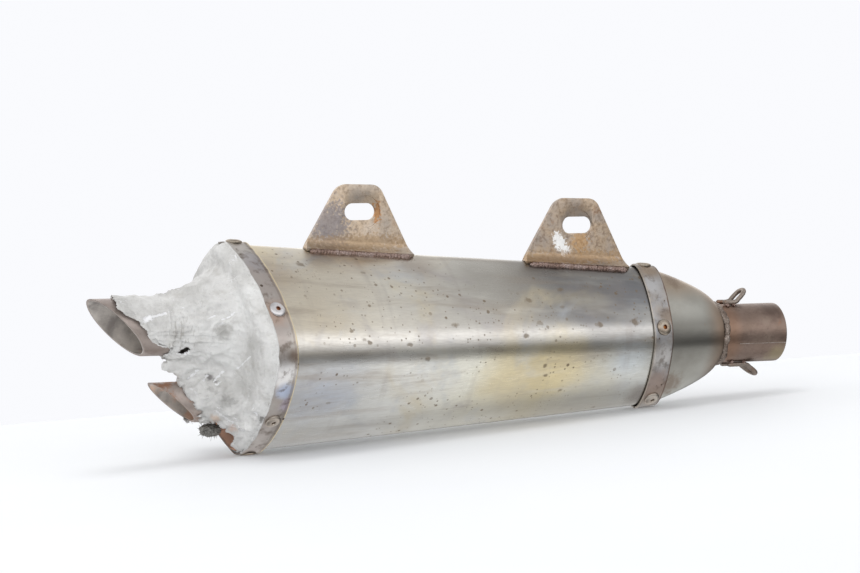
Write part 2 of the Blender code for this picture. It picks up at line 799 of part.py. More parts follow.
def foil_rings():
    """The wrap's inner face: from the rear band's edge, over the cap, and out along the upper pipe."""
    collar = UPPER_TAIL_RADIUS + GAP
    rings = [skin_ring(REAR_BAND_REAR - GAP, BAND_OUTSET - FOIL_WALL, 1.0)]
    root = skin_ring(REAR_BAND_REAR, 0.0, 1.0)
    for back, shrink, gather in FOIL_PROFILE:
        x = REAR_BAND_REAR - back
        ring = []
        circle = round_ring(x, collar, 0.0, UPPER_TAIL_HEIGHT)
        for point, seat in zip(root, circle):
            slanted = Vector((0.0, point.y * shrink, point.z * shrink))
            slanted.x = x - (1 - gather) * (RAKE_DEPTH * slanted.y + RAKE_HEIGHT * slanted.z)
            ring.append(slanted.lerp(seat, gather))
        rings.append(ring)
    end = []
    for point in round_ring(0.0, collar, 0.0, UPPER_TAIL_HEIGHT):
        rise = UPPER_TAIL_SLASH[0] * (point.z - UPPER_TAIL_HEIGHT) + UPPER_TAIL_SLASH[1] * point.y
        end.append(Vector((UPPER_TAIL_CUT + FOIL_SHORT + FOIL_FOLLOW * rise, point.y, point.z)))
    rings.append(end)
    return rings


def make_foil(collection, cutters, surface):
    """Aluminium foil over the damaged outlet end, torn open under the lower pipe."""
    bm = bmesh.new()
    loft_into(bm, foil_rings(), wrap=False)
    foil = finish_mesh("foil_wrap", bm, collection, surface)
    if foil.data.polygons[0].normal.dot(foil.data.polygons[0].center * Vector((0, 1, 1))) < 0:
        foil.data.flip_normals()
    thick = foil.modifiers.new("thickness", "SOLIDIFY")
    thick.thickness = FOIL_WALL
    thick.offset = 1.0
    foil = to_mesh_object(foil, collection)
    lower = cylinder(
        "foil_lower_hole", LOWER_TAIL_RADIUS + GAP, *tail_axis(LOWER_TAIL_HEIGHT), ROUND_STEPS, cutters
    )
    boolean(foil, lower, "DIFFERENCE")
    x, y, z = TUFT_PLACE
    tear = cylinder("foil_tear", TEAR_RADIUS, (x + 0.03, y, z), (x - 0.03, y, z), 16, cutters)
    boolean(foil, tear, "DIFFERENCE")
    return apply_all(foil, collection)


def make_tuft(collection, surface):
    """A lump of packing that hangs out of the tear."""
    bm = bmesh.new()
    bmesh.ops.create_icosphere(bm, subdivisions=2, radius=1.0)
    stretch = Matrix.Diagonal((*TUFT_HALF_SIZES, 1.0))
    bmesh.ops.transform(bm, matrix=Matrix.Translation(TUFT_PLACE) @ stretch, verts=bm.verts)
    return finish_mesh("packing_tuft", bm, collection, surface)


def main():
    clear_scene()
    muffler = new_collection("exhaust_muffler")
    cutters = new_collection("cutters", hidden=True)

    stainless = material("brushed_stainless", (0.56, 0.53, 0.47), 0.33, 1.0)
    tinted = material("heat_tinted_stainless", (0.42, 0.35, 0.30), 0.36, 1.0)
    cone_steel = material("cone_stainless", (0.45, 0.44, 0.38), 0.38, 1.0)
    pipe_steel = material("bronzed_pipe_steel", (0.33, 0.26, 0.21), 0.42, 1.0)
    tail_steel = material("sooty_pipe_steel", (0.36, 0.29, 0.25), 0.45, 1.0)
    plate_steel = material("rusty_bracket_steel", (0.40, 0.31, 0.25), 0.55, 0.8)
    weld_metal = material("weld_metal", (0.45, 0.36, 0.33), 0.50, 0.9)
    rivet_steel = material("rivet_steel", (0.60, 0.57, 0.54), 0.35, 1.0)
    foil_metal = material("foil", (0.66, 0.65, 0.63), 0.50, 0.7)
    core_steel = material("core_steel", (0.38, 0.34, 0.31), 0.45, 1.0)
    steel_wool = material("steel_wool", (0.40, 0.38, 0.36), 0.70, 0.6)
    glass_wool = material("glass_wool", (0.72, 0.68, 0.52), 0.95, 0.0)
    burnt_wool = material("burnt_wool", (0.20, 0.20, 0.19), 0.95, 0.0)

    places = rivet_places()
    make_sleeve(places, muffler, cutters, stainless)
    make_cone(places, muffler, cutters, cone_steel)
    make_cap(places, muffler, cutters, tail_steel)
    bands = (
        ("front_band", FRONT_BAND_FRONT, FRONT_BAND_REAR, 0.0),
        ("rear_band", REAR_BAND_FRONT, REAR_BAND_REAR, 1.0),
    )
    for name, front, rear, rake in bands:
        make_band(name, front, rear, rake, places, muffler, cutters, tinted)
    make_rivets(places, muffler, rivet_steel)

    make_inlet_pipe(muffler, pipe_steel)
    make_inlet_weld(muffler, weld_metal)
    upper_hook = (UPPER_HOOK_ROOT, UPPER_HOOK_BEND, UPPER_HOOK_SLOPE)
    lower_hook = (LOWER_HOOK_ROOT, LOWER_HOOK_BEND, LOWER_HOOK_SLOPE)
    make_hook("upper_spring_hook", *upper_hook, 1, muffler, pipe_steel)
    make_hook("lower_spring_hook", *lower_hook, -1, muffler, pipe_steel)

    upper = (UPPER_TAIL_RADIUS, UPPER_TAIL_HEIGHT)
    lower = (LOWER_TAIL_RADIUS, LOWER_TAIL_HEIGHT)
    make_tailpipe("upper_tailpipe", *upper, UPPER_TAIL_CUT, UPPER_TAIL_SLASH, muffler, cutters, tail_steel)
    make_tailpipe("lower_tailpipe", *lower, LOWER_TAIL_CUT, LOWER_TAIL_SLASH, muffler, cutters, tail_steel)

    brackets = (
        ("front_bracket", FRONT_BRACKET_STATION, FRONT_RECESS_SHIFT),
        ("rear_bracket", REAR_BRACKET_STATION, REAR_RECESS_SHIFT),
    )
    for name, station, recess_shift in brackets:
        make_bracket(name, station, recess_shift, muffler, cutters, plate_steel)
        make_bracket_bead(f"{name}_outer_bead", station, OUTER_BEAD_DEPTH, muffler, weld_metal)
        make_bracket_bead(f"{name}_inner_bead", station, -INNER_BEAD_DEPTH, muffler, weld_metal)

    make_core(muffler, cutters, core_steel)
    make_wool(muffler, steel_wool)
    make_packing(muffler, glass_wool)
    make_baffle("front_baffle", FRONT_BAFFLE_STATION, [(CORE_RADIUS, 0.0)], muffler, cutters, core_steel)
    make_baffle("rear_baffle", REAR_BAFFLE_STATION, [upper, lower], muffler, cutters, core_steel)

    make_foil(muffler, cutters, foil_metal)
    make_tuft(muffler, burnt_wool)


main()
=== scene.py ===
"""Looks for the exhaust muffler: fine meshes and aged-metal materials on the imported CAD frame.

Everything is in metres in the part's own frame. +X runs out of the inlet's mouth, +Z points at the
hanger brackets, and -Y is the side that faces the camera.
"""

import math
import random

import bmesh
import bpy
import numpy as np
from mathutils import Matrix, Vector, noise


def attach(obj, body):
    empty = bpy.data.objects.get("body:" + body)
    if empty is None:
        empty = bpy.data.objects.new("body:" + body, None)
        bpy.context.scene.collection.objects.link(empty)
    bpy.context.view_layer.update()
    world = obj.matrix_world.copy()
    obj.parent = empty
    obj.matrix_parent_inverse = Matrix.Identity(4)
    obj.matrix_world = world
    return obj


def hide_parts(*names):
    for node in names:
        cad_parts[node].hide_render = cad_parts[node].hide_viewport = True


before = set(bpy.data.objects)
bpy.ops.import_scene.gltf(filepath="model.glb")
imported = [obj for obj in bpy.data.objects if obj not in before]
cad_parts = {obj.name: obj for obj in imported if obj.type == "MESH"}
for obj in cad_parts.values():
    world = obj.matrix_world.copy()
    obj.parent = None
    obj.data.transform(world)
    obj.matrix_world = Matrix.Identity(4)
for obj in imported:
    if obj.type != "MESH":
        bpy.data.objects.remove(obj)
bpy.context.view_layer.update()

# The part's own dimensions, repeated from the design.
GAP = 0.0003
INLET_RADIUS = 0.019
INLET_WALL = 0.0015
INLET_REAR = -0.074
INLET_WELD_STATION = -0.0450
SEAM_ANGLE = math.radians(180 + 19)
SEAM_RADIUS = 0.00028
FRONT_STATION = -0.103
FRONT_SIZE = (0.0285, 0.0446, 0.25, 0.35)
REAR_STATION = -0.3695
REAR_SIZE = (0.0630, 0.0637, 0.28, 0.08)
RIDGE_ANGLE = math.radians(26)
CREST_ANGLE = math.radians(64)
RAKE_DEPTH = 0.062
RAKE_HEIGHT = 0.061
SLEEVE_WALL = 0.0008
SLEEVE_FRONT = -0.0895
SLEEVE_REAR = -0.385
BAND_WALL = 0.0012
BAND_OUTSET = GAP + BAND_WALL
FRONT_BAND = (-0.0885, -0.103)
REAR_BAND = (-0.3695, -0.385)
CAP_WALL = 0.0012
CAP_INSET = SLEEVE_WALL + GAP
CONE_NOSE = -0.0472
CONE_FULLNESS = 0.60
CONE_SKIRT_REAR = -0.106
UPPER_PIPE = {"radius": 0.0180, "height": 0.0150, "cut": -0.460, "slash": (-0.89, -0.19)}
LOWER_PIPE = {"radius": 0.0127, "height": -0.0320, "cut": -0.4235, "slash": (-1.15, -0.12)}
TAIL_WALL = 0.0014
TAIL_INNER_END = -0.330
BRACKETS = {"front_bracket": (-0.1459, 0.0), "rear_bracket": (-0.2982, 0.0035)}
BRACKET_BASE = 0.0736
BRACKET_HEIGHT = 0.042
BRACKET_PLATE = 0.003
BRACKET_FAR_FACE = 0.0010
BRACKET_TOP_LEFT = 0.0125
BRACKET_TOP_RIGHT = 0.0151
BRACKET_CORNER = 0.011
BRACKET_TILT = 0.03
SLOT_LENGTH = 0.0215
SLOT_WIDTH = 0.0106
SLOT_HEIGHT = 0.0248
SLOT_SHIFT = 0.002
RECESS_RADIUS = 0.010
RECESS_DEPTH = 0.0010
WELD_BEVEL_HEIGHT = 0.0030
WELD_BEVEL_DEPTH = 0.0008
FOOT_ROOT = 0.0030
FOOT_TIP = 0.0058
FOOT_THICKNESS = 0.0020
OUTER_BEAD_DEPTH = 0.0078
INNER_BEAD_DEPTH = 0.0034
BEAD_RADIUS = 0.0017
RIPPLE_PITCH = 0.0021
HOOK_WIRE = 0.0015
HOOK_HALF_WIDTH = 0.0048
HOOK_RISE = 0.0125
HOOKS = {
    "upper_spring_hook": (-0.0392, -0.0305, math.radians(44), 1),
    "lower_spring_hook": (-0.0365, -0.0232, math.radians(36), -1),
}
RIVET_HEAD = 0.0052
RIVET_DOME = 0.0017
RIVET_BORE = 0.0013
FRONT_RIVETS = (90, 160, 240, 300, 20)
REAR_RIVETS = (90, 147, 225, 270, 315, 33)
TUFT_PLACE = Vector((-0.3968, 0.004, -0.0502))
TUFT_SIZES = (0.0074, 0.0060, 0.0048)
STRAND_ROOTS = (0.0070, 0.0057, 0.0045)
STRANDS = 130
FLOOR_GAP = 0.0020


# Section geometry


def quarter_points(angles, ridge, crest):
    """Points of the unit quarter outline where the normal has turned by these angles."""
    spans = ((0.0, RIDGE_ANGLE, ridge), (RIDGE_ANGLE, CREST_ANGLE, 1.0), (CREST_ANGLE, math.pi / 2, crest))

    def travelled(to):
        depth = np.zeros_like(to)
        height = np.zeros_like(to)
        for start, end, radius in spans:
            stop = np.clip(to, start, end)
            depth += radius * (math.cos(start) - np.cos(stop))
            height += radius * (np.sin(stop) - math.sin(start))
        return depth, height

    whole_depth, whole_height = travelled(np.array([math.pi / 2]))
    depth, height = travelled(angles)
    return 1 - depth / whole_depth, height / whole_height


def outline(angles, half_depth, half_height, ridge, crest):
    quarter = np.arctan2(np.abs(np.sin(angles)), np.abs(np.cos(angles)))
    depth, height = quarter_points(quarter, ridge, crest)
    y = half_depth * depth * np.sign(np.cos(angles))
    z = half_height * height * np.sign(np.sin(angles))
    return np.stack([y, z], axis=-1)


def can_outline(angles, x):
    share = np.asarray((x - FRONT_STATION) / (REAR_STATION - FRONT_STATION))[..., None]
    return outline(angles, *FRONT_SIZE) * (1 - share) + outline(angles, *REAR_SIZE) * share


def skin(angles, station, outset=0.0, rake=0.0):
    """Points of the can's skin on the slanted plane through this station, moved out by outset."""
    angles = np.asarray(angles, float)
    x = np.zeros_like(angles) + station
    station = x.copy()
    for _ in range(6):
        along = can_outline(angles + 0.01, x) - can_outline(angles - 0.01, x)
        normal = np.stack([along[..., 1], -along[..., 0]], axis=-1)
        normal /= np.linalg.norm(normal, axis=-1, keepdims=True)
        spot = can_outline(angles, x) + np.asarray(outset)[..., None] * normal
        x = station - rake * (RAKE_DEPTH * spot[..., 0] + RAKE_HEIGHT * spot[..., 1])
    return np.stack([x, spot[..., 0], spot[..., 1]], axis=-1)


def skin_point(angle, station, outset=0.0, rake=0.0):
    return Vector(skin(np.array([angle]), station, outset, rake)[0])


def ring_angles(ridge_steps, panel_steps, crest_steps):
    quarter = []
    spans = (
        (0.0, RIDGE_ANGLE, ridge_steps),
        (RIDGE_ANGLE, CREST_ANGLE, panel_steps),
        (CREST_ANGLE, math.pi / 2, crest_steps),
    )
    for start, end, steps in spans:
        quarter += [start + (end - start) * i / steps for i in range(steps)]
    rising = quarter + [math.pi - angle for angle in [*quarter[1:], math.pi / 2]][::-1]
    return np.array(rising + [math.pi + angle for angle in rising])


RING = ring_angles(12, 16, 10)


def angle_at_depth(depth, x):
    low = math.pi / 2
    high = math.pi
    for _ in range(40):
        middle = (low + high) / 2
        if -can_outline(np.array([middle]), x)[0, 0] < depth:
            low = middle
        else:
            high = middle
    return low


def crest_height(x):
    return float(can_outline(np.array([math.pi / 2]), x)[0, 1])


def smooth_step(value, low, high):
    share = np.clip((np.asarray(value, float) - low) / (high - low), 0, 1)
    return share * share * (3 - 2 * share)


def bump_at(angles, centre, width):
    """A smooth hill of height 1 about this angle, in degrees."""
    gap = (np.degrees(angles) - centre + 180) % 360 - 180
    return np.exp(-((gap / width) ** 2))


def noise_at(points, scale, seed=0.0):
    """Smooth noise in -1 to 1 at each point."""
    flat = np.asarray(points, float).reshape(-1, 3) * scale + seed
    values = [noise.noise(Vector(spot)) for spot in flat]
    return np.array(values).reshape(np.asarray(points).shape[:-1])


def folds_at(points, scale, seed=0.0):
    """Sharp-crested noise in 0 to 1, as in crumpled foil."""
    return (1 - np.abs(noise_at(points, scale, seed)) * 2.2).clip(0, 1) ** 2


# Mesh building


def mesh_object(name, verts, faces, surface, sharp=35):
    mesh = bpy.data.meshes.new(name)
    mesh.from_pydata([tuple(map(float, vert)) for vert in verts], [], faces)
    mesh.update()
    bm = bmesh.new()
    bm.from_mesh(mesh)
    bmesh.ops.recalc_face_normals(bm, faces=bm.faces)
    bm.to_mesh(mesh)
    bm.free()
    mesh.shade_smooth()
    mesh.set_sharp_from_angle(angle=math.radians(sharp))
    mesh.materials.append(surface)
    obj = bpy.data.objects.new(name, mesh)
    bpy.context.scene.collection.objects.link(obj)
    return obj


def grid_faces(rows, columns, wrap_rows):
    faces = []
    for i in range(rows if wrap_rows else rows - 1):
        here = i * columns
        after = ((i + 1) % rows) * columns
        for j in range(columns):
            k = (j + 1) % columns
            faces.append((here + j, here + k, after + k, after + j))
    return faces


def loft(name, rings, surface, wrap=True, caps=False, sharp=35):
    """A surface through rings of equal count; wrapped, it closes on itself into a shell."""
    rings = np.asarray(rings, float)
    rows, columns = rings.shape[:2]
    faces = grid_faces(rows, columns, wrap)
    if caps:
        faces.append(tuple(range(columns)))
        faces.append(tuple((rows - 1) * columns + j for j in range(columns)))
    return mesh_object(name, rings.reshape(-1, 3), faces, surface, sharp)


def tube_rings(points, radii, sides=14):
    """Rings of a round tube that follows the points, without twist."""
    points = [Vector(point) for point in points]
    radii = np.broadcast_to(np.asarray(radii, float), (len(points),)).tolist()
    rings = []
    side = None
    for i, point in enumerate(points):
        ahead = points[min(i + 1, len(points) - 1)]
        behind = points[max(i - 1, 0)]
        along = (ahead - behind).normalized()
        if side is None:
            side = along.orthogonal().normalized()
        side = (side - along * side.dot(along)).normalized()
        other = along.cross(side)
        ring = []
        for j in range(sides):
            turn = 2 * math.pi * j / sides
            ring.append(point + radii[i] * (math.cos(turn) * side + math.sin(turn) * other))
        rings.append(ring)
    return np.array(rings)


def lathe_rings(profile, steps):
    """Rings of a profile of (x, radius) pairs turned about the X axis."""
    turns = 2 * math.pi * np.arange(steps) / steps
    rings = []
    for x, radius in profile:
        rings.append(np.stack([np.full(steps, x), radius * np.cos(turns), radius * np.sin(turns)], axis=-1))
    return np.array(rings)


def smooth_path(points, steps):
    """A Catmull-Rom curve through the points."""
    points = [Vector(point) for point in points]
    ends = [points[0] * 2 - points[1], *points, points[-1] * 2 - points[-2]]
    path = []
    for i in range(len(points) - 1):
        a, b, c, d = ends[i : i + 4]
        for j in range(steps):
            t = j / steps
            spot = 2 * b + (c - a) * t + (2 * a - 5 * b + 4 * c - d) * t**2 + (3 * b - a - 3 * c + d) * t**3
            path.append(spot / 2)
    path.append(points[-1])
    return path


def joined(name, parts, surface):
    """One mesh object from several (verts, faces) pairs."""
    verts = []
    faces = []
    for more, cells in parts:
        start = len(verts)
        verts.extend(more)
        faces.extend(tuple(start + i for i in cell) for cell in cells)
    return mesh_object(name, verts, faces, surface)


def blob(centre, sizes, normal, seed, rough=0.25):
    """Verts and faces of a lumpy bead squashed onto a surface."""
    bm = bmesh.new()
    bmesh.ops.create_icosphere(bm, subdivisions=3, radius=1.0)
    turn = Vector(normal).to_track_quat("Z", "Y").to_matrix()
    verts = []
    for vert in bm.verts:
        swell = 1 + rough * noise.noise(vert.co * 1.6 + Vector((seed, seed * 0.7, 0)))
        local = Vector(c * s for c, s in zip(vert.co, sizes)) * swell
        verts.append(Vector(centre) + turn @ local)
    faces = [tuple(v.index for v in face.verts) for face in bm.faces]
    bm.free()
    return verts, faces


def piece(obj, slot, *nodes):
    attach(obj, "root")
    if nodes:
        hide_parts(*nodes)
    return obj


def applied(obj):
    """Replaces the object's mesh by its evaluated one and drops the modifiers."""
    graph = bpy.context.evaluated_depsgraph_get()
    graph.update()
    mesh = bpy.data.meshes.new_from_object(obj.evaluated_get(graph))
    obj.modifiers.clear()
    obj.data = mesh
    return obj


# Materials


def add_node(tree, kind, inputs, **settings):
    """A node with these settings; each input is a value, or the socket that feeds it."""
    node = tree.nodes.new(f"ShaderNode{kind}")
    for name, value in settings.items():
        setattr(node, name, value)
    for place, value in inputs.items():
        feed(tree, node.inputs[place], value)
    return node


def feed(tree, socket, value):
    if isinstance(value, bpy.types.NodeSocket):
        tree.links.new(value, socket)
    elif isinstance(value, tuple) and len(value) == 3 and socket.type == "RGBA":
        socket.default_value = (*value, 1.0)
    else:
        socket.default_value = value


def set_stops(node, stops):
    marks = node.color_ramp.elements
    while len(marks) < len(stops):
        marks.new(0.5)
    for mark, (spot, colour) in zip(marks, stops):
        mark.position = spot
        mark.color = (*colour, 1.0)


class Surface:
    """A Principled material built from nodes in object coordinates."""

    def __init__(self, name, metallic=1.0, roughness=0.4):
        self.material = bpy.data.materials.new(name)
        self.material.use_nodes = True
        self.tree = self.material.node_tree
        self.shader = self.tree.nodes["Principled BSDF"]
        self.shader.inputs["Metallic"].default_value = metallic
        self.shader.inputs["Roughness"].default_value = roughness
        self.place = self.node("TexCoord", {}).outputs["Object"]

    def node(self, kind, inputs, **settings):
        return add_node(self.tree, kind, inputs, **settings)

    def mapped(self, scale=(1.0, 1.0, 1.0), turn=(0.0, 0.0, 0.0), shift=(0.0, 0.0, 0.0)):
        inputs = {"Vector": self.place, "Scale": scale, "Rotation": turn, "Location": shift}
        return self.node("Mapping", inputs).outputs["Vector"]

    def noise(self, scale, detail=3.0, rough=0.5, vector=None, distortion=0.0):
        inputs = {"Vector": vector or self.place, "Scale": scale, "Detail": detail}
        return self.node("TexNoise", inputs | {"Roughness": rough, "Distortion": distortion}).outputs["Fac"]

    def cells(self, scale, vector=None, feature="F1"):
        node = self.node("TexVoronoi", {"Vector": vector or self.place, "Scale": scale}, feature=feature)
        colour = node.outputs["Color"] if feature == "F1" else None
        return node.outputs["Distance"], colour

    def math(self, kind, first, second=0.0, clamp=False):
        return self.node("Math", {0: first, 1: second}, operation=kind, use_clamp=clamp).outputs["Value"]

    def times(self, first, second):
        return self.math("MULTIPLY", first, second)

    def plus(self, first, second):
        return self.math("ADD", first, second)

    def minus(self, first, second):
        return self.math("SUBTRACT", first, second)

    def most(self, first, second):
        return self.math("MAXIMUM", first, second)

    def vector(self, kind, first, second, output="Vector"):
        return self.node("VectorMath", {0: first, 1: second}, operation=kind).outputs[output]

    def steps(self, value, low, high, start=0.0, end=1.0):
        """Smoothly from start at low to end at high."""
        inputs = {"Value": value, "From Min": low, "From Max": high, "To Min": start, "To Max": end}
        return self.node("MapRange", inputs, interpolation_type="SMOOTHSTEP").outputs["Result"]

    def ramp(self, value, *stops):
        node = self.node("ValToRGB", {"Fac": value})
        set_stops(node, stops)
        return node.outputs["Color"]

    def mix(self, share, first, second):
        return self.node("Mix", {"Factor": share, 6: first, 7: second}, data_type="RGBA").outputs[2]

    def over(self, colour, tint, value, low, high, share=1.0):
        """The tint laid over the colour, by this share where the value is past high."""
        return self.mix(self.steps(value, low, high, 0.0, share), colour, tint)

    def split(self):
        return self.node("SeparateXYZ", {"Vector": self.place}).outputs

    def wobble(self, scale, size):
        """Noise between -size / 2 and size / 2."""
        return self.times(self.minus(self.noise(scale, 4.0, 0.6), 0.5), size)

    def near(self, centre, radius, soft=0.5, ragged=0.3, scale=260.0, squash=(1.0, 1.0, 1.0)):
        """1 about a point, fading to 0 at this radius, with a ragged edge."""
        scaled = self.vector("MULTIPLY", self.vector("SUBTRACT", self.place, centre), squash)
        far = self.node("VectorMath", {0: scaled}, operation="LENGTH").outputs["Value"]
        distance = self.plus(far, self.wobble(scale, ragged * radius * 2))
        return self.steps(distance, radius * (1 - soft), radius, 1.0, 0.0)

    def patch(self, colour, tint, share, *place):
        """The tint laid over the colour near a point: place is what near() takes."""
        return self.mix(self.times(self.near(*place), share), colour, tint)

    def stroke(self, start, end, width, ragged=0.5, scale=420.0):
        """1 along the straight run between two points, fading to 0 at this distance from it."""
        flat = Vector((0.6, 0.6, 1.0))
        run = (Vector(end) - Vector(start)) * flat
        offset = self.vector("MULTIPLY", self.vector("SUBTRACT", self.place, start), flat)
        along = self.vector("DOT_PRODUCT", offset, run / run.length_squared, "Value")
        share = self.math("ADD", along, 0.0, clamp=True)
        foot = self.node("VectorMath", {0: run, "Scale": share}, operation="SCALE").outputs["Vector"]
        gap = self.vector("DISTANCE", offset, foot, "Value")
        edge = self.plus(gap, self.wobble(scale, ragged * width * 2))
        return self.steps(edge, width * 0.4, width, 1.0, 0.0)

    def specks(self, scale, size, share, vector=None, ragged=0.4):
        """Scattered spots: in this share of the cells, a spot of this size as a share of the cell."""
        distance, colour = self.cells(scale, vector)
        pick = self.node("SeparateColor", {"Color": colour}).outputs
        chosen = self.math("LESS_THAN", pick["Red"], share)
        grown = self.times(pick["Green"], size * 0.7)
        wobble = self.times(self.minus(self.noise(scale * 4, 2.0), 0.5), size * ragged)
        edge = self.minus(self.plus(distance, wobble), grown)
        return self.times(self.steps(edge, size * 0.25, size * 0.6, 1.0, 0.0), chosen)

    def finish(self, colour, roughness=None, height=None, depth=0.0002, strength=0.5):
        inputs = self.shader.inputs
        feed(self.tree, inputs["Base Color"], colour)
        if roughness is not None:
            feed(self.tree, inputs["Roughness"], roughness)
        if height is not None:
            bump = self.node("Bump", {"Strength": strength, "Distance": depth, "Height": height})
            feed(self.tree, inputs["Normal"], bump.outputs["Normal"])
        return self.material


# The can's bottom line: its height is BOTTOM_START at x = 0 and changes by BOTTOM_SLOPE a metre.
BOTTOM_SLOPE = (REAR_SIZE[1] - FRONT_SIZE[1]) / (FRONT_STATION - REAR_STATION)
BOTTOM_START = -FRONT_SIZE[1] - BOTTOM_SLOPE * FRONT_STATION
# Each single brown fleck on the sleeve: its place and its radius.
SLEEVE_FLECKS = (
    ((-0.1932, -0.0295, 0.0264), 0.0036),
    ((-0.2513, -0.0443, 0.0127), 0.0030),
    ((-0.1437, -0.0321, 0.0094), 0.0026),
    ((-0.1166, -0.0282, 0.0105), 0.0036),
    ((-0.2004, -0.0407, 0.0043), 0.0026),
    ((-0.1841, -0.0344, -0.0147), 0.0022),
    ((-0.3458, -0.0209, 0.0515), 0.0034),
    ((-0.1670, -0.0222, 0.0319), 0.0026),
    ((-0.3262, -0.0548, 0.0114), 0.0020),
    ((-0.2858, -0.0521, 0.0016), 0.0022),
    ((-0.2724, -0.0493, -0.0076), 0.0022),
    ((-0.3145, -0.0556, 0.0038), 0.0018),
    ((-0.1824, -0.0309, -0.0212), 0.0020),
    ((-0.1675, -0.0222, -0.0316), 0.0020),
)


# Each broad stain on the sleeve: its place, radius, tint and share.
SLEEVE_STAINS = (
    ((-0.340, -0.046, -0.030), 0.034, (0.50, 0.55, 0.66), 0.5),
    ((-0.172, -0.031, -0.016), 0.034, (0.80, 0.66, 0.36), 0.6),
    ((-0.212, -0.036, -0.026), 0.030, (0.78, 0.66, 0.40), 0.5),
    ((-0.122, -0.026, -0.012), 0.020, (0.70, 0.76, 0.80), 0.7),
    ((-0.370, -0.030, 0.048), 0.026, (0.50, 0.40, 0.30), 0.5),
    ((-0.110, -0.020, 0.024), 0.020, (0.30, 0.33, 0.38), 0.5),
    ((-0.2638, -0.0128, 0.0496), 0.022, (0.36, 0.30, 0.25), 0.6),
    ((-0.106, -0.0113, -0.0375), 0.015, (0.25, 0.20, 0.17), 0.8),
)


def sleeve_tones(surface, along, z):
    """The tones from the can's rear to its front, below and above its waist."""
    # The upper tones darken towards the front partly as painted shade, for the dark that the upper panel
    # mirrors there.
    upper = surface.ramp(
        along,
        (0.00, (0.66, 0.59, 0.47)),
        (0.30, (0.75, 0.71, 0.62)),
        (0.50, (0.57, 0.55, 0.50)),
        (0.72, (0.39, 0.37, 0.335)),
        (1.00, (0.26, 0.26, 0.265)),
    )
    lower = surface.ramp(
        along,
        (0.00, (0.56, 0.56, 0.55)),
        (0.30, (0.82, 0.82, 0.78)),
        (0.52, (0.86, 0.84, 0.72)),
        (0.74, (0.68, 0.60, 0.40)),
        (1.00, (0.62, 0.64, 0.63)),
    )
    return surface.mix(surface.steps(z, -0.008, 0.004), lower, upper)


def sleeve_stains(surface, colour):
    """Heat tint in clouds and patches, and stains that run along and across the can."""
    straw = surface.noise(15.0, 4.0, 0.6, surface.mapped(shift=(0.7, 0.3, 0.2)), 0.6)
    colour = surface.over(colour, (0.72, 0.62, 0.42), straw, 0.52, 0.70, 0.6)
    cool = surface.noise(23.0, 4.0, 0.6, surface.mapped(shift=(0.1, 0.8, 0.5)), 0.6)
    colour = surface.over(colour, (0.52, 0.56, 0.61), cool, 0.56, 0.72, 0.5)
    for centre, radius, tint, share in SLEEVE_STAINS:
        colour = surface.patch(colour, tint, share, centre, radius, 0.9, 0.4, 80.0)
    streaks = surface.noise(1.0, 4.0, 0.65, surface.mapped((10.0, 95.0, 95.0)), 0.4)
    colour = surface.over(colour, (0.38, 0.32, 0.26), streaks, 0.48, 0.74, 0.48)
    pale = surface.noise(1.0, 3.0, 0.55, surface.mapped((16.0, 70.0, 70.0), shift=(0.4, 0.1, 0.0)))
    colour = surface.over(colour, (0.82, 0.80, 0.72), pale, 0.54, 0.76, 0.42)
    runs = surface.noise(1.0, 3.0, 0.6, surface.mapped((75.0, 9.0, 9.0), shift=(0.0, 0.6, 0.3)))
    return surface.over(colour, (0.40, 0.36, 0.33), runs, 0.56, 0.76, 0.30)


def sleeve_marks(surface):
    """1 on the brown flecks, the pits and the dust."""
    slanted = surface.mapped((0.55, 1.0, 1.0), (0.0, math.radians(38), 0.0))
    flecks = surface.times(surface.specks(66.0, 0.13, 0.20, slanted, 1.5), 0.38)
    clumps = surface.steps(surface.noise(20.0, 2.0), 0.42, 0.58)
    pits = surface.times(surface.specks(190.0, 0.22, 0.30), surface.times(clumps, 0.75))
    dust = surface.times(surface.specks(480.0, 0.3, 0.22), surface.times(clumps, 0.6))
    marks = surface.most(surface.most(flecks, pits), dust)
    for centre, radius in SLEEVE_FLECKS:
        spot = surface.near(centre, radius * 0.85, 0.7, 0.9, 330.0, (0.75, 1.0, 1.0))
        marks = surface.most(marks, surface.times(spot, 0.65))
    return marks


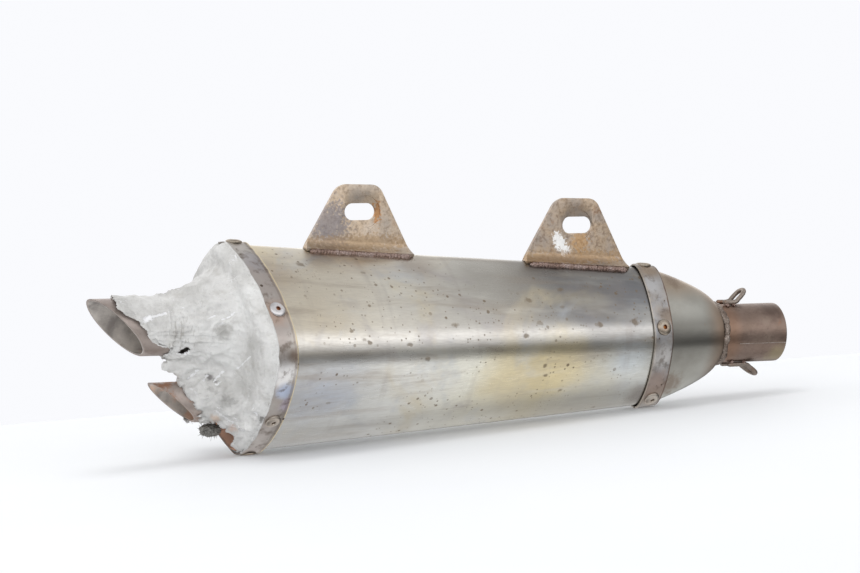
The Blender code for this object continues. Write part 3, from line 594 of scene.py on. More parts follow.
def sleeve_material():
    """Brushed stainless with straw, grey and blue heat tint, brown flecks and fine pits."""
    surface = Surface("sleeve_brushed_stainless", 1.0, 0.33)
    x, _, z = surface.split()
    drift = surface.times(surface.minus(surface.noise(16.0, 3.0, 0.55), 0.5), 0.42)
    along = surface.plus(surface.steps(x, -0.400, -0.085), drift)
    colour = sleeve_tones(surface, along, z)
    drift_height = surface.times(drift, 0.012)
    bent = surface.minus(z, drift_height)
    # Painted highlight: a pale band along the side ridge, for the light that the ridge mirrors.
    painted_ridge_highlight = surface.times(surface.steps(bent, -0.003, 0.001), surface.steps(bent, 0.015, 0.005))
    painted_ridge_highlight = surface.times(painted_ridge_highlight, surface.steps(along, 0.72, 1.0, 0.8, 0.6))
    colour = surface.mix(painted_ridge_highlight, colour, (0.76, 0.74, 0.70))
    clouds = surface.noise(19.0, 5.0, 0.62, distortion=0.8)
    colour = surface.over(colour, (0.46, 0.43, 0.43), clouds, 0.52, 0.72, 0.55)
    colour = sleeve_stains(surface, colour)
    # Painted shade: the top of the can darkened towards the front, for the dark that the upper panel mirrors
    # there.
    dim = surface.times(surface.steps(along, 0.74, 0.98, 0.0, 0.55), surface.steps(z, 0.0065, 0.0125))
    colour = surface.mix(dim, colour, (0.14, 0.14, 0.145))
    # Painted shade: darker along the can's bottom, for the shaded floor that it mirrors there.
    above = surface.minus(z, surface.times(x, BOTTOM_SLOPE))
    painted_bottom_shade = surface.steps(surface.plus(above, drift_height), BOTTOM_START + 0.022, BOTTOM_START + 0.008)
    colour = surface.mix(surface.times(painted_bottom_shade, 0.55), colour, (0.27, 0.265, 0.25))
    marks = sleeve_marks(surface)
    colour = surface.mix(marks, colour, (0.25, 0.19, 0.13))
    grain = surface.noise(1.0, 4.0, 0.65, surface.mapped((70.0, 1500.0, 1500.0)))
    colour = surface.over(colour, (0.30, 0.28, 0.25), grain, 0.35, 0.70, 0.14)
    rough = surface.plus(surface.steps(grain, 0.2, 0.8, 0.25, 0.33), surface.times(marks, 0.3))
    rough = surface.plus(rough, surface.steps(clouds, 0.4, 0.7, 0.0, 0.06))
    height = surface.plus(grain, surface.times(surface.noise(75.0, 3.0), 3.0))
    height = surface.minus(height, surface.times(marks, 2.0))
    return surface.finish(colour, rough, height, 0.00010, 0.40)


def band_material(name, warm, cool, spots, lines, rake):
    """Strap steel: mauve-grey with blue and straw tint, with lines along its edges, among them a painted
    highlight on the rear strap's rolled front edge.
    """
    surface = Surface(name, 1.0, 0.42)
    x, y, z = surface.split()
    station = surface.plus(x, surface.times(y, RAKE_DEPTH * rake))
    station = surface.plus(station, surface.times(z, RAKE_HEIGHT * rake))
    patches = surface.noise(38.0, 4.0, 0.6)
    colour = surface.mix(surface.steps(patches, 0.38, 0.62), warm, cool)
    for centre, radius, tint, share in spots:
        colour = surface.patch(colour, tint, share, centre, radius, 0.7, 0.4, 120.0)
    stain = surface.noise(150.0, 4.0, 0.65)
    colour = surface.over(colour, (0.17, 0.13, 0.10), stain, 0.50, 0.70, 0.6)
    wander = surface.times(surface.minus(surface.noise(240.0, 3.0), 0.5), 0.0012)
    for place, width, tint, share in lines:
        gap = surface.math("ABSOLUTE", surface.minus(surface.plus(station, wander), place))
        colour = surface.mix(surface.steps(gap, width * 0.4, width, share, 0.0), colour, tint)
    pits = surface.specks(260.0, 0.25, 0.12)
    colour = surface.mix(pits, colour, (0.12, 0.09, 0.07))
    grain = surface.noise(1.0, 3.0, 0.6, surface.mapped((1400.0, 120.0, 120.0)))
    height = surface.plus(grain, surface.times(stain, 2.5))
    return surface.finish(colour, surface.steps(stain, 0.3, 0.8, 0.36, 0.55), height, 0.00012, 0.45)


def cone_material():
    """Pressed stainless, olive grey with a brown top edge, and heat colour towards the pipe."""
    surface = Surface("cone_heat_stained_steel", 1.0, 0.37)
    x, _, z = surface.split()
    patches = surface.noise(30.0, 4.0, 0.55)
    colour = surface.over((0.34, 0.325, 0.29), (0.41, 0.405, 0.37), patches, 0.35, 0.65)
    # Painted shade: the cone's middle darkened, for the dark band that it mirrors.
    middle = surface.times(surface.steps(z, -0.011, -0.003), surface.steps(z, 0.020, 0.006))
    colour = surface.mix(surface.times(middle, 0.82), colour, (0.14, 0.135, 0.12))
    high = surface.plus(z, surface.times(patches, 0.02))
    colour = surface.over(colour, (0.37, 0.28, 0.20), high, 0.030, 0.046, 0.75)
    low = surface.steps(high, -0.012, -0.034)
    colour = surface.mix(surface.times(low, 0.6), colour, (0.60, 0.62, 0.58))
    hot = surface.steps(surface.plus(x, surface.times(patches, 0.012)), -0.056, -0.043)
    colour = surface.mix(surface.times(hot, 0.7), colour, (0.29, 0.20, 0.14))
    stains = (((-0.0786, -0.0074, 0.0359), 0.010, 0.6), ((-0.084, -0.014, -0.033), 0.013, 0.7))
    for centre, radius, share in stains:
        colour = surface.patch(colour, (0.22, 0.16, 0.12), share, centre, radius, 0.8, 0.7, 220.0)
    slanted = surface.mapped((1.0, 1.0, 0.5), (0.0, math.radians(35), 0.0))
    marks = surface.times(surface.specks(120.0, 0.16, 0.16, slanted, 0.9), 0.7)
    colour = surface.mix(marks, colour, (0.20, 0.15, 0.11))
    grain = surface.noise(1.0, 4.0, 0.6, surface.mapped((260.0, 900.0, 900.0)))
    height = surface.plus(grain, surface.times(surface.noise(120.0, 3.0), 2.5))
    rough = surface.steps(patches, 0.3, 0.7, 0.42, 0.33)
    return surface.finish(colour, rough, height, 0.00010, 0.45)


def tube_material(name, tones, rust_share, rust_from=0.55, shine=(0.34, 0.50)):
    """Tube steel tinted by heat: mottled bronze, with rust blooms."""
    surface = Surface(name, 1.0, 0.42)
    patches = surface.noise(48.0, 5.0, 0.6)
    colour = surface.ramp(patches, (0.30, tones[0]), (0.50, tones[1]), (0.70, tones[2]))
    fine = surface.noise(320.0, 4.0, 0.65)
    colour = surface.over(colour, tones[3], fine, 0.45, 0.75, 0.45)
    rust = surface.noise(70.0, 5.0, 0.7, surface.mapped(shift=(0.3, 0.2, 0.7)))
    share = surface.steps(rust, rust_from, rust_from + 0.16, 0.0, rust_share)
    colour = surface.mix(share, colour, (0.40, 0.17, 0.075))
    grain = surface.noise(1.0, 3.0, 0.6, surface.mapped((220.0, 900.0, 900.0)))
    height = surface.plus(surface.times(fine, 2.0), grain)
    rough = surface.plus(surface.steps(patches, 0.3, 0.7, *shine), surface.times(share, 0.2))
    return surface, colour, rough, height


def inlet_material():
    tones = ((0.20, 0.145, 0.115), (0.27, 0.20, 0.165), (0.34, 0.27, 0.22), (0.15, 0.105, 0.085))
    surface, colour, rough, height = tube_material("inlet_bronzed_tube", tones, 0.35, 0.60)
    x, _, _ = surface.split()
    colour = surface.patch(colour, (0.42, 0.36, 0.22), 0.55, (-0.004, -0.012, -0.014), 0.012, 0.8, 0.5, 200.0)
    dark_spot = (-0.0088, -0.0117, 0.0148)
    colour = surface.patch(colour, (0.13, 0.09, 0.075), 0.6, dark_spot, 0.011, 0.8, 0.6, 200.0)
    hot = surface.steps(x, -0.040, -0.030, 0.65, 0.0)
    colour = surface.mix(hot, colour, (0.30, 0.18, 0.12))
    return surface.finish(colour, rough, height, 0.00012, 0.5)


def tailpipe_material(name, pipe, glow):
    """Outlet steel: brown outside, and a paler ash-grey with dark blotches inside."""
    tones = ((0.36, 0.30, 0.27), (0.45, 0.385, 0.35), (0.54, 0.475, 0.44), (0.26, 0.21, 0.18))
    surface, colour, rough, height = tube_material(name, tones, 0.75, glow, (0.42, 0.55))
    surface.shader.inputs["Metallic"].default_value = 0.75
    _, y, z = surface.split()
    up = surface.minus(z, pipe["height"])
    reach = surface.math("SQRT", surface.plus(surface.times(y, y), surface.times(up, up)))
    inside = surface.steps(reach, pipe["radius"] - 0.0013, pipe["radius"] - 0.0010, 1.0, 0.0)
    blotch = surface.noise(85.0, 4.0, 0.6)
    ash = surface.ramp(
        blotch,
        (0.34, (0.30, 0.27, 0.25)),
        (0.50, (0.52, 0.48, 0.44)),
        (0.66, (0.66, 0.61, 0.56)),
    )
    bloom = surface.noise(50.0, 4.0, 0.6, surface.mapped(shift=(0.2, 0.7, 0.4)))
    rust = surface.steps(bloom, glow - 0.06, glow + 0.1)
    ash = surface.mix(surface.times(rust, 0.6), ash, (0.78, 0.45, 0.28))
    colour = surface.mix(inside, colour, ash)
    feed(surface.tree, surface.shader.inputs["Metallic"], surface.steps(inside, 0.0, 1.0, 0.75, 0.25))
    return surface.finish(colour, rough, height, 0.00014, 0.55)


def bracket_material(name, marks, wash, share):
    """Hanger plate: bronze, grey-blue and rust in fine mottling, with a few named patches."""
    surface = Surface(name, 0.9, 0.45)
    broad = surface.noise(60.0, 5.0, 0.6)
    colour = surface.ramp(
        broad,
        (0.32, (0.37, 0.335, 0.305)),
        (0.46, (0.50, 0.42, 0.345)),
        (0.58, (0.55, 0.43, 0.31)),
        (0.72, (0.57, 0.485, 0.40)),
    )
    fine = surface.noise(420.0, 5.0, 0.7)
    colour = surface.over(colour, (0.22, 0.15, 0.11), fine, 0.48, 0.66, 0.55)
    rust = surface.noise(130.0, 5.0, 0.7, surface.mapped(shift=(0.9, 0.2, 0.1)))
    colour = surface.over(colour, (0.36, 0.18, 0.08), rust, 0.54, 0.74, 0.5)
    colour = surface.mix(share, colour, wash)
    rough = surface.steps(fine, 0.35, 0.70, 0.38, 0.60)
    for centre, radius, squash, tint, share in marks:
        colour = surface.patch(colour, tint, share, centre, radius, 0.45, 1.5, 520.0, squash)
    height = surface.plus(surface.times(fine, 1.6), rust)
    return surface.finish(colour, rough, height, 0.00016, 0.6)


def weld_material(name, tones):
    surface = Surface(name, 0.85, 0.45)
    grains, _ = surface.cells(900.0)
    broad = surface.noise(160.0, 4.0, 0.6)
    colour = surface.ramp(broad, (0.34, tones[0]), (0.50, tones[1]), (0.66, tones[2]))
    colour = surface.over(colour, tones[3], grains, 0.25, 0.7, 0.5)
    height = surface.plus(surface.times(grains, -1.6), surface.noise(600.0, 3.0))
    return surface.finish(colour, surface.steps(broad, 0.35, 0.65, 0.35, 0.6), height, 0.0003, 0.8)


def rivet_material(name, tones, core):
    """A rivet's head, with rust round the hole of its mandrel."""
    surface = Surface(name, 1.0, 0.34)
    broad = surface.noise(260.0, 4.0, 0.6)
    colour = surface.mix(surface.steps(broad, 0.40, 0.62), tones[0], tones[1])
    fine = surface.noise(900.0, 4.0, 0.65)
    colour = surface.over(colour, tones[2], fine, 0.52, 0.72, 0.6)
    for centre in core:
        hole = surface.near(centre, 0.0022, 0.5, 0.3, 900.0)
        colour = surface.mix(hole, colour, (0.33, 0.12, 0.03))
    return surface.finish(colour, surface.steps(broad, 0.3, 0.7, 0.28, 0.45), fine, 0.00010, 0.5)


# The foil's painted highlights, on creases and smooth patches, and its bright scratches, each with its two
# ends, its width and its share.
FOIL_HIGHLIGHTS_AND_SCRATCHES = (
    ((-0.4474, -0.0180, 0.0197), (-0.4439, -0.0174, 0.0215), 0.0030, 0.9),
    ((-0.4439, -0.0174, 0.0215), (-0.4338, -0.0169, 0.0236), 0.0014, 0.85),
    ((-0.4338, -0.0169, 0.0236), (-0.4227, -0.0171, 0.0270), 0.0009, 0.8),
    ((-0.4260, -0.0160, -0.0040), (-0.4130, -0.0140, 0.0060), 0.0026, 0.9),
    ((-0.4088, -0.0248, 0.0202), (-0.4049, -0.0251, 0.0219), 0.0007, 1.0),
    ((-0.4007, -0.0276, 0.0195), (-0.3964, -0.0301, 0.0213), 0.0008, 1.0),
    ((-0.3964, -0.0301, 0.0213), (-0.3942, -0.0313, 0.0237), 0.0007, 0.9),
    ((-0.4156, -0.0080, -0.0171), (-0.4103, -0.0097, -0.0123), 0.0010, 1.0),
    ((-0.4078, -0.0132, -0.0183), (-0.4042, -0.0110, -0.0155), 0.0010, 0.9),
    ((-0.4016, -0.0143, -0.0191), (-0.3955, -0.0142, -0.0131), 0.0009, 1.0),
    ((-0.4005, -0.0163, -0.0209), (-0.3892, -0.0248, -0.0104), 0.0010, 0.9),
    ((-0.3892, -0.0248, -0.0104), (-0.3879, -0.0408, -0.0030), 0.0008, 0.7),
    ((-0.3860, -0.0402, -0.0349), (-0.3834, -0.0387, -0.0393), 0.0010, 0.9),
    ((-0.4165, -0.0134, -0.0230), (-0.4100, -0.0150, -0.0290), 0.0009, 0.4),
    ((-0.4010, -0.0163, -0.0370), (-0.3930, -0.0169, -0.0433), 0.0011, 0.5),
    ((-0.3930, -0.0169, -0.0433), (-0.3857, -0.0231, -0.0493), 0.0012, 0.8),
)
# Each dark line of painted shade along a crease, in the same way.
FOIL_CREASE_SHADE = (
    ((-0.4192, -0.0102, -0.0212), (-0.4074, -0.0117, -0.0406), 0.0012, 0.45),
    ((-0.4040, -0.0150, -0.0240), (-0.3917, -0.0221, -0.0320), 0.0022, 0.30),
    ((-0.3810, -0.0406, -0.0405), (-0.3780, -0.0360, -0.0450), 0.0012, 0.80),
    ((-0.4013, -0.0160, -0.0190), (-0.4042, -0.0110, -0.0155), 0.0014, 0.60),
)
# Each grey patch of painted shade on the foil, and each rust-brown stain: its place, radius, tint and share.
FOIL_PAINTED_SHADE_AND_RUST = (
    ((-0.4008, -0.0277, 0.0115), 0.0078, (0.22, 0.21, 0.19), 0.55),
    ((-0.4030, -0.0120, -0.0165), 0.0030, (0.16, 0.14, 0.15), 0.70),
    ((-0.4261, -0.0219, 0.0132), 0.0090, (0.24, 0.23, 0.21), 0.30),
    ((-0.4400, -0.0180, 0.0220), 0.0150, (0.42, 0.41, 0.39), 0.45),
    ((-0.3940, -0.0215, -0.0298), 0.0080, (0.24, 0.23, 0.22), 0.08),
    ((-0.4050, -0.0120, -0.0360), 0.0090, (0.26, 0.25, 0.23), 0.12),
    ((-0.3803, -0.0406, -0.0412), 0.0050, (0.20, 0.19, 0.19), 0.45),
    ((-0.4013, -0.0145, -0.0425), 0.0045, (0.50, 0.36, 0.27), 0.65),
    ((-0.3900, -0.0155, -0.0487), 0.0045, (0.55, 0.36, 0.27), 0.60),
)


def foil_material():
    """Crumpled matte aluminium foil with painted highlights on its creases, bright scratches, painted shade
    in its hollows and folds, and rust stains.
    """
    surface = Surface("crumpled_foil", 0.15, 0.52)
    broad = surface.noise(30.0, 5.0, 0.6)
    colour = surface.ramp(
        broad,
        (0.32, (0.46, 0.455, 0.435)),
        (0.50, (0.65, 0.645, 0.63)),
        (0.68, (0.74, 0.74, 0.725)),
    )
    smear = surface.noise(1.0, 5.0, 0.65, surface.mapped((90.0, 90.0, 160.0), (0.3, 0.5, 0.2)))
    colour = surface.over(colour, (0.40, 0.385, 0.35), smear, 0.50, 0.75, 0.45)
    speck = surface.noise(700.0, 3.0, 0.7)
    colour = surface.over(colour, (0.32, 0.31, 0.29), speck, 0.58, 0.75, 0.5)
    # Painted shade in hollows and folds, and rust-brown stains.
    for centre, radius, tint, share in FOIL_PAINTED_SHADE_AND_RUST:
        colour = surface.patch(colour, tint, share, centre, radius, 0.8, 0.8, 300.0)
    # Painted shade along the creases.
    for start, end, width, share in FOIL_CREASE_SHADE:
        crease = surface.stroke(start, end, width, 1.2, 500.0)
        colour = surface.mix(surface.times(crease, share), colour, (0.17, 0.16, 0.15))
    hair = surface.noise(1.0, 3.0, 0.6, surface.mapped((900.0, 120.0, 160.0), (0.0, math.radians(24), 0.0)))
    drawn = surface.near((-0.4250, -0.0170, 0.0110), 0.016, 0.7, 0.5, 200.0)
    drawn = surface.times(surface.steps(hair, 0.52, 0.62), drawn)
    colour = surface.mix(surface.times(drawn, 0.55), colour, (0.27, 0.25, 0.22))
    # Painted highlights on creases and smooth patches, with bright scratches and specks.
    highlights_and_scratches = surface.steps(surface.noise(900.0, 2.0), 0.74, 0.80, 0.0, 0.5)
    for start, end, width, share in FOIL_HIGHLIGHTS_AND_SCRATCHES:
        mark = surface.times(surface.stroke(start, end, width * 0.72, 1.7, 620.0), share * 0.85)
        highlights_and_scratches = surface.most(highlights_and_scratches, mark)
    slanted = surface.mapped((1.0, 1.0, 3.4), (math.radians(24), 0.0, 0.0))
    edges, _ = surface.cells(110.0, slanted, "DISTANCE_TO_EDGE")
    keep = surface.steps(surface.noise(75.0, 3.0, 0.6), 0.60, 0.66)
    scratch = surface.times(surface.steps(edges, 0.010, 0.035, 0.7, 0.0), keep)
    highlights_and_scratches = surface.most(highlights_and_scratches, scratch)
    colour = surface.mix(highlights_and_scratches, colour, (0.93, 0.93, 0.95))
    wrinkle, _ = surface.cells(150.0, surface.mapped((1.0, 1.0, 1.0), (0.5, 0.4, 0.3)), "DISTANCE_TO_EDGE")
    rumple = surface.times(surface.noise(260.0, 5.0, 0.65), 2.2)
    height = surface.plus(surface.steps(wrinkle, 0.0, 0.35), rumple)
    height = surface.plus(height, surface.times(highlights_and_scratches, 0.8))
    rough = surface.steps(broad, 0.3, 0.7, 0.58, 0.45)
    return surface.finish(colour, rough, height, 0.0005, 0.72)


def plain_metal(name, tones, rust=0.5):
    tones = (*tones, tuple(channel * 0.5 for channel in tones[0]))
    surface, colour, rough, height = tube_material(name, tones, rust, 0.52, (0.4, 0.6))
    return surface.finish(colour, rough, height, 0.00016, 0.5)


def wool_material(name, tones, metallic, scale):
    """Matted fibres: fine crossed strands with darker hollows."""
    surface = Surface(name, metallic, 0.85)
    first = surface.noise(1.0, 4.0, 0.7, surface.mapped((scale * 4, scale, scale), (0.2, 0.9, 0.4)))
    second = surface.noise(1.0, 4.0, 0.7, surface.mapped((scale, scale * 4, scale), (0.8, 0.1, 0.5)))
    strands = surface.most(first, second)
    colour = surface.ramp(strands, (0.38, tones[0]), (0.55, tones[1]), (0.72, tones[2]))
    return surface.finish(colour, surface.steps(strands, 0.4, 0.7, 0.95, 0.75), strands, 0.0008, 1.0)


# Camera, lights and floor


def make_camera():
    camera = bpy.data.cameras.new("camera")
    camera.sensor_width = 36.0
    camera.lens = 188.37
    camera.clip_end = 20.0
    obj = bpy.data.objects.new("camera", camera)
    bpy.context.scene.collection.objects.link(obj)
    yaw, pitch, roll = 0.43631, 0.03565, 0.00885
    stand = Matrix(((1, 0, 0), (0, 0, 1), (0, -1, 0)))
    look = Matrix.Rotation(roll, 3, "Z") @ Matrix.Rotation(pitch, 3, "X")
    look = look @ Matrix.Rotation(yaw, 3, "Y") @ stand
    shift = Vector((0.224656, -0.029605, -2.947116))
    turn = look.transposed()
    obj.matrix_world = Matrix.Translation(-(turn @ shift)) @ turn.to_4x4()
    bpy.context.scene.camera = obj


def make_light(name, place, target, size, power, colour=(1.0, 1.0, 1.0)):
    light = bpy.data.lights.new(name, "AREA")
    light.shape = "RECTANGLE"
    light.size = size[0]
    light.size_y = size[1]
    light.energy = power
    light.color = colour
    obj = bpy.data.objects.new(name, light)
    bpy.context.scene.collection.objects.link(obj)
    aim = Vector(target) - Vector(place)
    obj.matrix_world = Matrix.Translation(place) @ aim.to_track_quat("-Z", "Y").to_matrix().to_4x4()
    obj.visible_camera = False
    return obj


# The studio's light from straight down (0) to straight up (1), through the horizon at 0.5.
STUDIO_LIGHT = (
    (0.00, 0.20),
    (0.05, 0.36),
    (0.10, 0.56),
    (0.16, 0.70),
    (0.22, 0.48),
    (0.29, 0.15),
    (0.41, 0.145),
    (0.49, 0.44),
    (0.56, 0.56),
    (0.62, 1.00),
    (0.69, 1.05),
    (0.77, 0.78),
    (0.85, 0.54),
    (1.00, 0.36),
)


def make_world():
    """A pale studio. What the metal mirrors is bright above the horizon, dark below it, dim to the right."""
    world = bpy.data.worlds.new("studio")
    bpy.context.scene.world = world
    world.use_nodes = True
    tree = world.node_tree
    tree.nodes.clear()
    place = add_node(tree, "TexCoord", {}).outputs["Generated"]
    split = add_node(tree, "SeparateXYZ", {"Vector": place}).outputs
    level = add_node(tree, "MapRange", {"From Min": -1.0, "Value": split["Z"]}).outputs["Result"]
    ramp = add_node(tree, "ValToRGB", {"Fac": level})
    set_stops(ramp, [(spot, (value, value, value * 1.01)) for spot, value in STUDIO_LIGHT])
    strengths = {"From Min": 0.71, "From Max": 0.92, "To Min": 1.55, "To Max": 0.42, "Value": split["X"]}
    side = add_node(tree, "MapRange", strengths).outputs["Result"]
    studio = add_node(tree, "Background", {"Strength": side, "Color": ramp.outputs["Color"]})
    seen = add_node(tree, "Background", {"Color": (0.955, 0.962, 0.990)})
    direct = add_node(tree, "LightPath", {}).outputs["Is Camera Ray"]
    inputs = {"Fac": direct, 1: studio.outputs["Background"], 2: seen.outputs["Background"]}
    blend = add_node(tree, "MixShader", inputs)
    add_node(tree, "OutputWorld", {"Surface": blend.outputs["Shader"]})


def make_floor():
    """A pale floor that the can's bottom edge rests along; its far edge is the studio's wall line."""
    surface = Surface("pale_floor", 0.0, 0.7)
    tone = surface.noise(6.0, 2.0)
    colour = surface.over((0.86, 0.875, 0.89), (0.83, 0.85, 0.87), tone, 0.3, 0.7, 0.3)
    material = surface.finish(colour)
    wall_right = Vector((0.135, 0.201))
    wall_left = Vector((-0.336, 0.355))
    along = (wall_right - wall_left).normalized()
    back = Vector((along.y, -along.x))
    middle = (wall_right + wall_left) / 2
    verts = []
    for side, depth in ((-2.0, 0.0), (2.0, 0.0), (2.0, 2.6), (-2.0, 2.6)):
        spot = middle + along * side + back * depth
        height = -FRONT_SIZE[1] - FLOOR_GAP + BOTTOM_SLOPE * (spot.x - FRONT_STATION)
        verts.append((spot.x, spot.y, height))
    floor = mesh_object("floor", verts, [(0, 1, 2, 3)], material)
    floor.visible_glossy = False


# Pieces


def make_sleeve():
    rows = 72
    outer = []
    inner = []
    for i in range(rows + 1):
        rake = i / rows
        station = SLEEVE_FRONT + (SLEEVE_REAR - SLEEVE_FRONT) * rake
        ring = skin(RING, station, 0.0, rake)
        held = smooth_step(rake, 0.0, 0.10) * smooth_step(rake, 1.0, 0.92)
        dent = noise_at(ring, 21.0, 3.0) * 0.00022 + noise_at(ring, 60.0, 9.0) * 0.00005
        outer.append(skin(RING, station, dent * held, rake))
        inner.append(skin(RING, station, dent * held - SLEEVE_WALL, rake))
    sleeve = loft("can_sleeve", outer + inner[::-1], sleeve_material())
    return piece(sleeve, "sleeve_steel", "outer_sleeve")


def make_front_strap(material):
    front, rear = FRONT_BAND
    width = front - rear
    lifted = 0.0006 * (bump_at(RING, 96, 16) + bump_at(RING, 268, 14)) + 0.0001
    profile = (
        (0.0, 0.00002, 0.0),
        (0.0, BAND_WALL * 0.6, 0.0),
        (0.0005, BAND_WALL, 0.0),
        (0.0016, BAND_WALL + 0.0001, 0.0),
        (0.0030, BAND_WALL - 0.0001, 0.0),
        (width * 0.5, BAND_WALL + 0.0001, 0.1),
        (width - 0.0028, BAND_WALL, 0.6),
        (width - 0.0014, BAND_WALL + 0.0002, 0.85),
        (width - 0.0004, BAND_WALL, 1.0),
        (width, BAND_WALL * 0.6, 1.0),
        (width, 0.00002, 1.0),
        (width * 0.5, 0.00002, 0.1),
    )
    rings = []
    for back, rise, lift in profile:
        wave = noise_at(skin(RING, front - back), 30.0, 5.0) * 0.00015
        rings.append(skin(RING, front - back, GAP + rise + lift * lifted + wave))
    return piece(loft("front_strap", rings, material), "band_steel", "front_band")


def make_rear_strap(material):
    front, rear = REAR_BAND
    width = front - rear
    lip = bump_at(RING, 82, 15)
    profile = (
        (0.0, 0.00002, 0.0),
        (0.0, BAND_WALL * 0.7, 0.0),
        (0.0004, BAND_WALL + 0.0003, 0.0),
        (0.0010, BAND_WALL + 0.0004, 0.0),
        (0.0018, BAND_WALL, 0.0),
        (width * 0.5, BAND_WALL, 0.0),
        (width - 0.0030, BAND_WALL, 0.0),
        (width - 0.0012, BAND_WALL, 0.45),
        (width, BAND_WALL * 0.9, 1.0),
        (width, 0.00002, 1.0),
        (width - 0.0016, 0.00002, 0.35),
        (width * 0.5, 0.00002, 0.0),
    )
    rings = []
    for back, rise, flare in profile:
        station = front - back - flare * lip * 0.0018
        wave = noise_at(skin(RING, front - back, 0.0, 1.0), 26.0, 8.0) * 0.00018
        rings.append(skin(RING, station, GAP + rise - flare * lip * 0.0004 + wave, 1.0))
    return piece(loft("rear_strap", rings, material), "band_steel", "rear_band")


# Each spot on a strap: its place, radius, tint and share.
FRONT_SPOTS = (
    ((-0.0920, -0.0244, 0.0130), 0.009, (0.24, 0.19, 0.15), 0.85),
    ((-0.0964, -0.0272, -0.0116), 0.012, (0.74, 0.72, 0.70), 0.9),
    ((-0.0990, -0.0170, 0.0331), 0.009, (0.66, 0.64, 0.62), 0.8),
    ((-0.0957, -0.0163, 0.0333), 0.014, (0.47, 0.48, 0.50), 0.6),
    ((-0.0970, -0.0177, -0.0310), 0.016, (0.33, 0.25, 0.21), 0.8),
    ((-0.0960, -0.0080, 0.0440), 0.010, (0.36, 0.27, 0.19), 0.7),
)
REAR_SPOTS = (
    ((-0.3776, -0.0571, 0.0251), 0.013, (0.52, 0.37, 0.29), 0.75),
    ((-0.3740, -0.0616, -0.0138), 0.013, (0.97, 0.96, 0.95), 0.95),
    ((-0.3710, -0.0560, -0.0250), 0.009, (0.58, 0.66, 0.84), 0.85),
    ((-0.3660, -0.0470, -0.0330), 0.008, (0.62, 0.54, 0.66), 0.7),
    ((-0.3700, -0.0610, -0.0020), 0.007, (0.22, 0.15, 0.10), 0.8),
    ((-0.3760, -0.0240, 0.0540), 0.016, (0.40, 0.38, 0.40), 0.6),
)
# Each line round a strap: its station, half width, tint and share.
FRONT_LINES = (
    (FRONT_BAND[0] - 0.0004, 0.0011, (0.17, 0.11, 0.08), 0.8),
    (FRONT_BAND[1] + 0.0002, 0.0006, (0.50, 0.45, 0.38), 0.6),
)
REAR_LINES = (
    # The first rear line is a painted highlight, pale gold along the strap's rolled front edge.
    (REAR_BAND[0] - 0.0003, 0.0013, (0.80, 0.68, 0.45), 0.85),
    (REAR_BAND[0] - 0.0022, 0.0010, (0.24, 0.17, 0.12), 0.35),
    (REAR_BAND[1], 0.0016, (0.20, 0.15, 0.12), 0.7),
)


def make_straps():
    front_steel = ((0.40, 0.345, 0.29), (0.39, 0.39, 0.40))
    rear_steel = ((0.48, 0.43, 0.40), (0.54, 0.51, 0.475))
    make_front_strap(band_material("front_strap_steel", *front_steel, FRONT_SPOTS, FRONT_LINES, 0.0))
    make_rear_strap(band_material("rear_strap_steel", *rear_steel, REAR_SPOTS, REAR_LINES, 1.0))


def rivet_place(angle, station, rake):
    turn = math.radians(angle)
    spot = skin_point(turn, station, BAND_OUTSET, rake)
    around = skin_point(turn + 0.02, station, BAND_OUTSET, rake)
    around -= skin_point(turn - 0.02, station, BAND_OUTSET, rake)
    ahead = skin_point(turn, station + 0.0005, BAND_OUTSET, rake)
    ahead -= skin_point(turn, station - 0.0005, BAND_OUTSET, rake)
    normal = around.cross(ahead).normalized()
    if normal.dot(Vector((0.0, spot.y, spot.z))) < 0:
        normal.negate()
    return spot, normal


def make_rivet(name, node, spot, normal, material):
    """A blind rivet's head: a low dome with a sharp rim, the mandrel's hole and its broken end."""
    profile = (
        (-0.0006, RIVET_HEAD * 0.96),
        (RIVET_DOME * 0.20, RIVET_HEAD),
        (RIVET_DOME * 0.42, RIVET_HEAD * 0.97),
        (RIVET_DOME * 0.72, RIVET_HEAD * 0.82),
        (RIVET_DOME * 0.92, RIVET_HEAD * 0.60),
        (RIVET_DOME * 1.00, RIVET_HEAD * 0.40),
        (RIVET_DOME * 0.96, RIVET_BORE * 1.15),
        (RIVET_DOME * 0.80, RIVET_BORE * 1.0),
        (RIVET_DOME * 0.10, RIVET_BORE * 0.95),
        (RIVET_DOME * 0.05, RIVET_BORE * 0.80),
        (RIVET_DOME * 0.30, RIVET_BORE * 0.60),
        (RIVET_DOME * 0.34, RIVET_BORE * 0.15),
    )
    rings = lathe_rings(profile, 36)
    turn = normal.to_track_quat("X", "Z").to_matrix()
    placed = [[spot + turn @ Vector(point) for point in ring] for ring in rings]
    return piece(loft(name, placed, material, wrap=False, caps=True), "rivet", node)


def make_rivets():
    places = {}
    for number, angle in enumerate(FRONT_RIVETS, start=1):
        places[f"front_band_rivet_{number}"] = rivet_place(angle, sum(FRONT_BAND) / 2, 0.0)
    for number, angle in enumerate(REAR_RIVETS, start=1):
        places[f"rear_band_rivet_{number}"] = rivet_place(angle, sum(REAR_BAND) / 2, 1.0)
    holes = [spot + normal * 0.0008 for spot, normal in places.values()]
    bronze = ((0.36, 0.30, 0.24), (0.45, 0.40, 0.33), (0.20, 0.14, 0.10))
    silver = ((0.66, 0.64, 0.64), (0.76, 0.75, 0.76), (0.42, 0.37, 0.34))
    brown = ((0.48, 0.42, 0.36), (0.57, 0.52, 0.46), (0.25, 0.18, 0.13))
    aged = rivet_material("rivet_aged", bronze, holes[:4])
    bright = rivet_material("rivet_bright", silver, [holes[6]])
    dark = rivet_material("rivet_dark", brown, [])
    finish = {"rear_band_rivet_2": bright, "rear_band_rivet_3": dark, "front_band_rivet_3": dark}
    for node, (spot, normal) in places.items():
        make_rivet(f"{node}_head", node, spot, normal, finish.get(node, aged))


